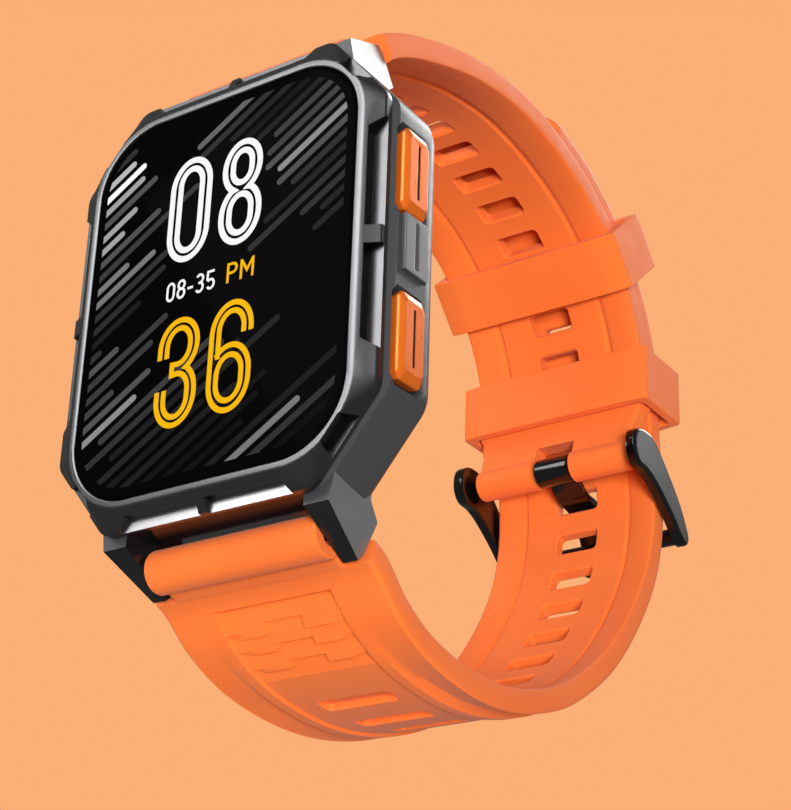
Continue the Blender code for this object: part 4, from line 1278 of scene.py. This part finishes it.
def make_keeper(name, body, route, station):
    """A rectangular loop, its faces leaning back a little towards the ends."""
    lift = (BUCKLE_THICK / 2 + LAYER_GAP + TAIL_THICK / 2) / 2
    point, along, away = route.frame(route.total - station)
    middle = point + away * lift
    deep, length = KEEPER_DEPTH / 2, KEEPER_LENGTH / 2
    hole_x, hole_n = KEEPER_OPENING[0], KEEPER_OPENING[1] / 2

    def ring(s, amount, hole):
        if hole:
            x, n, r = hole_x + amount, hole_n + amount, 1.1
            quarter = [(x - r, n), (x - r * 0.62, n - r * 0.08), (x - r * 0.29, n - r * 0.29),
                       (x - r * 0.08, n - r * 0.62), (x, n - r)]
            lead = [(x - 3.0, n)]
        else:
            x, n = KEEPER_HALF - amount, deep - amount
            quarter = [(x - 2.6, n - 0.02), (x - 0.42, n - 0.30), (x - 0.16, n - 0.40),
                       (x - 0.03, n - 0.62), (x, n - 0.95)]
            lead = [(x - 3.4, n)]
        corner = lead + quarter
        shape = corner + [(a, -b) for a, b in corner[::-1]]
        shape = shape + [(-a, b) for a, b in shape[::-1]]
        return [(a, *(middle + along * s + away * b)) for a, b in shape]

    soft = 0.22
    rings = [ring(-length + soft, 0.0, False), ring(length - soft, 0.0, False),
             ring(length - 0.06, soft * 0.3, False), ring(length, soft, False),
             ring(length, 0.12, True), ring(length - 0.12, 0.0, True),
             ring(-length + 0.12, 0.0, True), ring(-length, 0.12, True),
             ring(-length, soft, False), ring(-length + 0.06, soft * 0.3, False)]
    keeper = loft(name + "_loop", rings, closed=True)
    shade(keeper, 30)
    settle(keeper, body, SILICONE, name)


# ---------------------------------------------------------------- buckle

ARM_PLAN = [(5.6, -52.9), (3.3, -52.75), (1.75, -53.9), (1.35, -56.2), (0.2, -58.7),
            (-2.2, -62.2), (-4.6, -65.0), (-5.05, -66.4), (-4.3, -67.1), (-3.0, -66.9),
            (0.1, -65.0), (3.4, -61.9), (6.2, -58.7), (6.95, -56.6), (6.75, -54.3)]


def smooth_ring(points, per_span=6):
    """A closed smooth outline through points."""
    knots = [Vector(p) for p in points]
    return spline([knots[-1]] + knots + knots[:2], per_span)


def shrink(ring, amount):
    """Move an outline in towards its own inside."""
    count = len(ring)
    area = sum(ring[i].x * ring[(i + 1) % count].y - ring[(i + 1) % count].x * ring[i].y
               for i in range(count))
    turn = 1.0 if area > 0 else -1.0
    made = []
    for i in range(count):
        along = (ring[(i + 1) % count] - ring[i - 1]).normalized()
        made.append(ring[i] + Vector((-along.y, along.x)) * amount * turn)
    return made


def make_buckle():
    plan = smooth_ring(ARM_PLAN)
    arms = []
    for side, sx in SIDES:
        rings = []
        for x, amount in ((ARM_INNER, 0.2), (ARM_INNER + 0.15, 0.0), (ARM_OUTER - 0.42, 0.0),
                          (ARM_OUTER - 0.22, 0.06), (ARM_OUTER - 0.06, 0.22),
                          (ARM_OUTER, 0.5)):
            rings.append([(sx * x, p.x, p.y) for p in shrink(plan, amount)])
        arms.append(loft("arm_" + side, rings, helper=side == "right"))
    frame_piece = arms[0]
    frame_piece.name = "buckle_loop"
    join(frame_piece, arms[1], cylinder("frame_cross_bar", (0, *FRAME_BAR),
                                        BAR_THICK - 0.05, 2 * ARM_INNER + 1.0))
    for side, sx in SIDES:
        cut(frame_piece, cylinder("frame_eye_" + side, (sx * 12.4, *PIN),
                                  PIN_RADIUS + 0.06, 1.3, segments=32))
    bake(frame_piece)
    paint(frame_piece, BUCKLE_BLACK, BUCKLE_FACE)
    paint_faces(frame_piece, lambda middle, normal: abs(middle.x) > ARM_OUTER - 0.01)
    shade(frame_piece, 30)
    settle(frame_piece, "buckle", node="buckle_frame")


def make_tongue():
    spine = Route([(4.1, -58.4), (TONGUE_SLOT_Y + 0.05, -60.9),
                   (TONGUE_SLOT_Y - 0.45, -63.6), (-0.6, -66.3), (-3.9, -67.75),
                   (-6.2, -68.0)])
    outer, inner = [], []
    count = 24
    for k in range(count + 1):
        point, along, _ = spine.frame(spine.total * k / count)
        across = Vector((-along.y, along.x))
        half = 0.55 if k < count - 1 else (0.48 if k < count else 0.32)
        outer.append(point + across * half)
        inner.append(point - across * half)
    plan = outer + inner[::-1]
    stages = [(-x, less) for x, less in TONGUE_BLADE] + list(TONGUE_BLADE[::-1])
    rings = [[(x, p.x, p.y) for p in shrink(plan, less)] for x, less in stages]
    tongue = round_bar("buckle_prong", PIN, TONGUE_HALF, TONGUE_EYE, helper=False)
    join(tongue, loft("prong_blade", rings, helper=True))
    cut(tongue, cylinder("prong_eye", (0, *PIN), PIN_RADIUS + 0.08, 10.0, segments=40))
    bake(tongue)
    shade(tongue, 30)
    settle(tongue, "tongue", BUCKLE_BLACK, "buckle_tongue")


# ---------------------------------------------------------------- stage

BACKDROP = (0.965, 0.430, 0.181)
CAMERA_AIM = (9.0, -8.1, -7.0)
CAMERA_DISTANCE = 200.0
CAMERA_AZIMUTH = -39.0
CAMERA_ELEVATION = 48.0
CAMERA_ROLL = -57.1
CAMERA_LENS = 84.9
FLOOR_LEVEL = -0.30
FLOOR_HALF = 6.0
WORLD_COLOR = (1.0, 0.97, 0.94, 1.0)
WORLD_STRENGTH = 0.15
LIGHT_TARGET = (0.0, 0.0, -0.020)


def make_floor():
    bm = bmesh.new()
    bmesh.ops.create_grid(bm, x_segments=1, y_segments=1, size=FLOOR_HALF)
    floor = new_object("floor", bm)
    floor.location.z = FLOOR_LEVEL
    material = bpy.data.materials.new("floor_card")
    material.use_nodes = True
    tree = material.node_tree
    tree.nodes.remove(tree.nodes["Principled BSDF"])
    glow = tree.nodes.new('ShaderNodeEmission')
    glow.inputs["Color"].default_value = (*BACKDROP, 1.0)
    glow.inputs["Strength"].default_value = 1.0
    tree.links.new(glow.outputs[0], tree.nodes["Material Output"].inputs["Surface"])
    paint(floor, material)
    floor.visible_diffuse = False
    floor.visible_glossy = False
    floor.visible_transmission = False
    floor.visible_shadow = False


def area_light(name, towards, distance, size, power, color=(1.0, 1.0, 1.0),
               diffuse=True, glossy=True):
    """A soft panel that looks at the middle of the watch."""
    data = bpy.data.lights.new(name, 'AREA')
    data.shape = 'RECTANGLE'
    data.size, data.size_y = size
    data.energy = power
    data.color = color
    made = bpy.data.objects.new(name, data)
    SCENE.collection.objects.link(made)
    direction = Vector(towards).normalized()
    made.location = Vector(LIGHT_TARGET) + direction * distance
    made.rotation_euler = direction.to_track_quat('Z', 'Y').to_euler()
    made.visible_diffuse = diffuse
    made.visible_glossy = glossy
    return made


def make_lights():
    world = bpy.data.worlds.new("studio")
    world.use_nodes = True
    SCENE.world = world
    back = world.node_tree.nodes["Background"]
    back.inputs["Color"].default_value = WORLD_COLOR
    back.inputs["Strength"].default_value = WORLD_STRENGTH
    area_light("top_back_panel", (-0.20, 0.48, 0.86), 0.60, (0.46, 0.34), 2.8,
               diffuse=False)
    area_light("under_back_panel", (0.15, 0.66, -0.74), 0.55, (0.30, 0.22), 1.5,
               diffuse=False)
    area_light("key", (0.62, -0.30, 0.72), 0.80, (0.24, 0.24), 7.6, glossy=False)
    area_light("overhead_fill", (0.0, -0.20, 0.98), 0.70, (0.40, 0.40), 0.9,
               glossy=False)
    area_light("back_fill", (-0.50, 0.80, 0.30), 0.80, (0.50, 0.50), 3.0,
               glossy=False)
    area_light("under_glow", (-0.2, -0.5, -0.8), 0.50, (0.40, 0.40), 0.6,
               (1.0, 0.78, 0.58), glossy=False)


def make_camera():
    data = bpy.data.cameras.new("photo_camera")
    data.lens = CAMERA_LENS
    data.sensor_width = 36.0
    data.clip_start = 0.01
    data.clip_end = 20.0
    camera = bpy.data.objects.new("photo_camera", data)
    SCENE.collection.objects.link(camera)
    turn = (Matrix.Rotation(math.radians(CAMERA_AZIMUTH + 90.0), 4, 'Z')
            @ Matrix.Rotation(math.radians(90.0 - CAMERA_ELEVATION), 4, 'X')
            @ Matrix.Rotation(math.radians(CAMERA_ROLL), 4, 'Z'))
    away = turn @ Vector((0.0, 0.0, CAMERA_DISTANCE))
    camera.matrix_world = Matrix.Translation((Vector(CAMERA_AIM) + away) * MM) @ turn
    SCENE.camera = camera


def main():
    SCENE.view_settings.view_transform = 'Standard'
    SCENE.view_settings.look = 'None'
    make_camera()
    make_floor()
    make_lights()
    finish_carried_nodes()
    make_bezel()
    make_mid_case()
    make_side_insert()
    make_glass()
    make_back()
    for name, centre in BUTTON_CENTRES.items():
        make_button(name, centre)
    make_stripes()
    make_hours()
    make_minutes()
    make_small_line()
    buckle_route, tail_route = build_routes()
    make_tail_strap(tail_route)
    make_buckle_strap(buckle_route)
    for name, body in (("keeper_fixed", "strap"), ("keeper_free", "keeper_free")):
        make_keeper(name, body, buckle_route, KEEPER_STATIONS[name])
    make_buckle()
    make_tongue()
    for helper in MADE:
        bpy.data.objects.remove(helper, do_unlink=True)
    bpy.data.collections.remove(CUTTERS)


main()
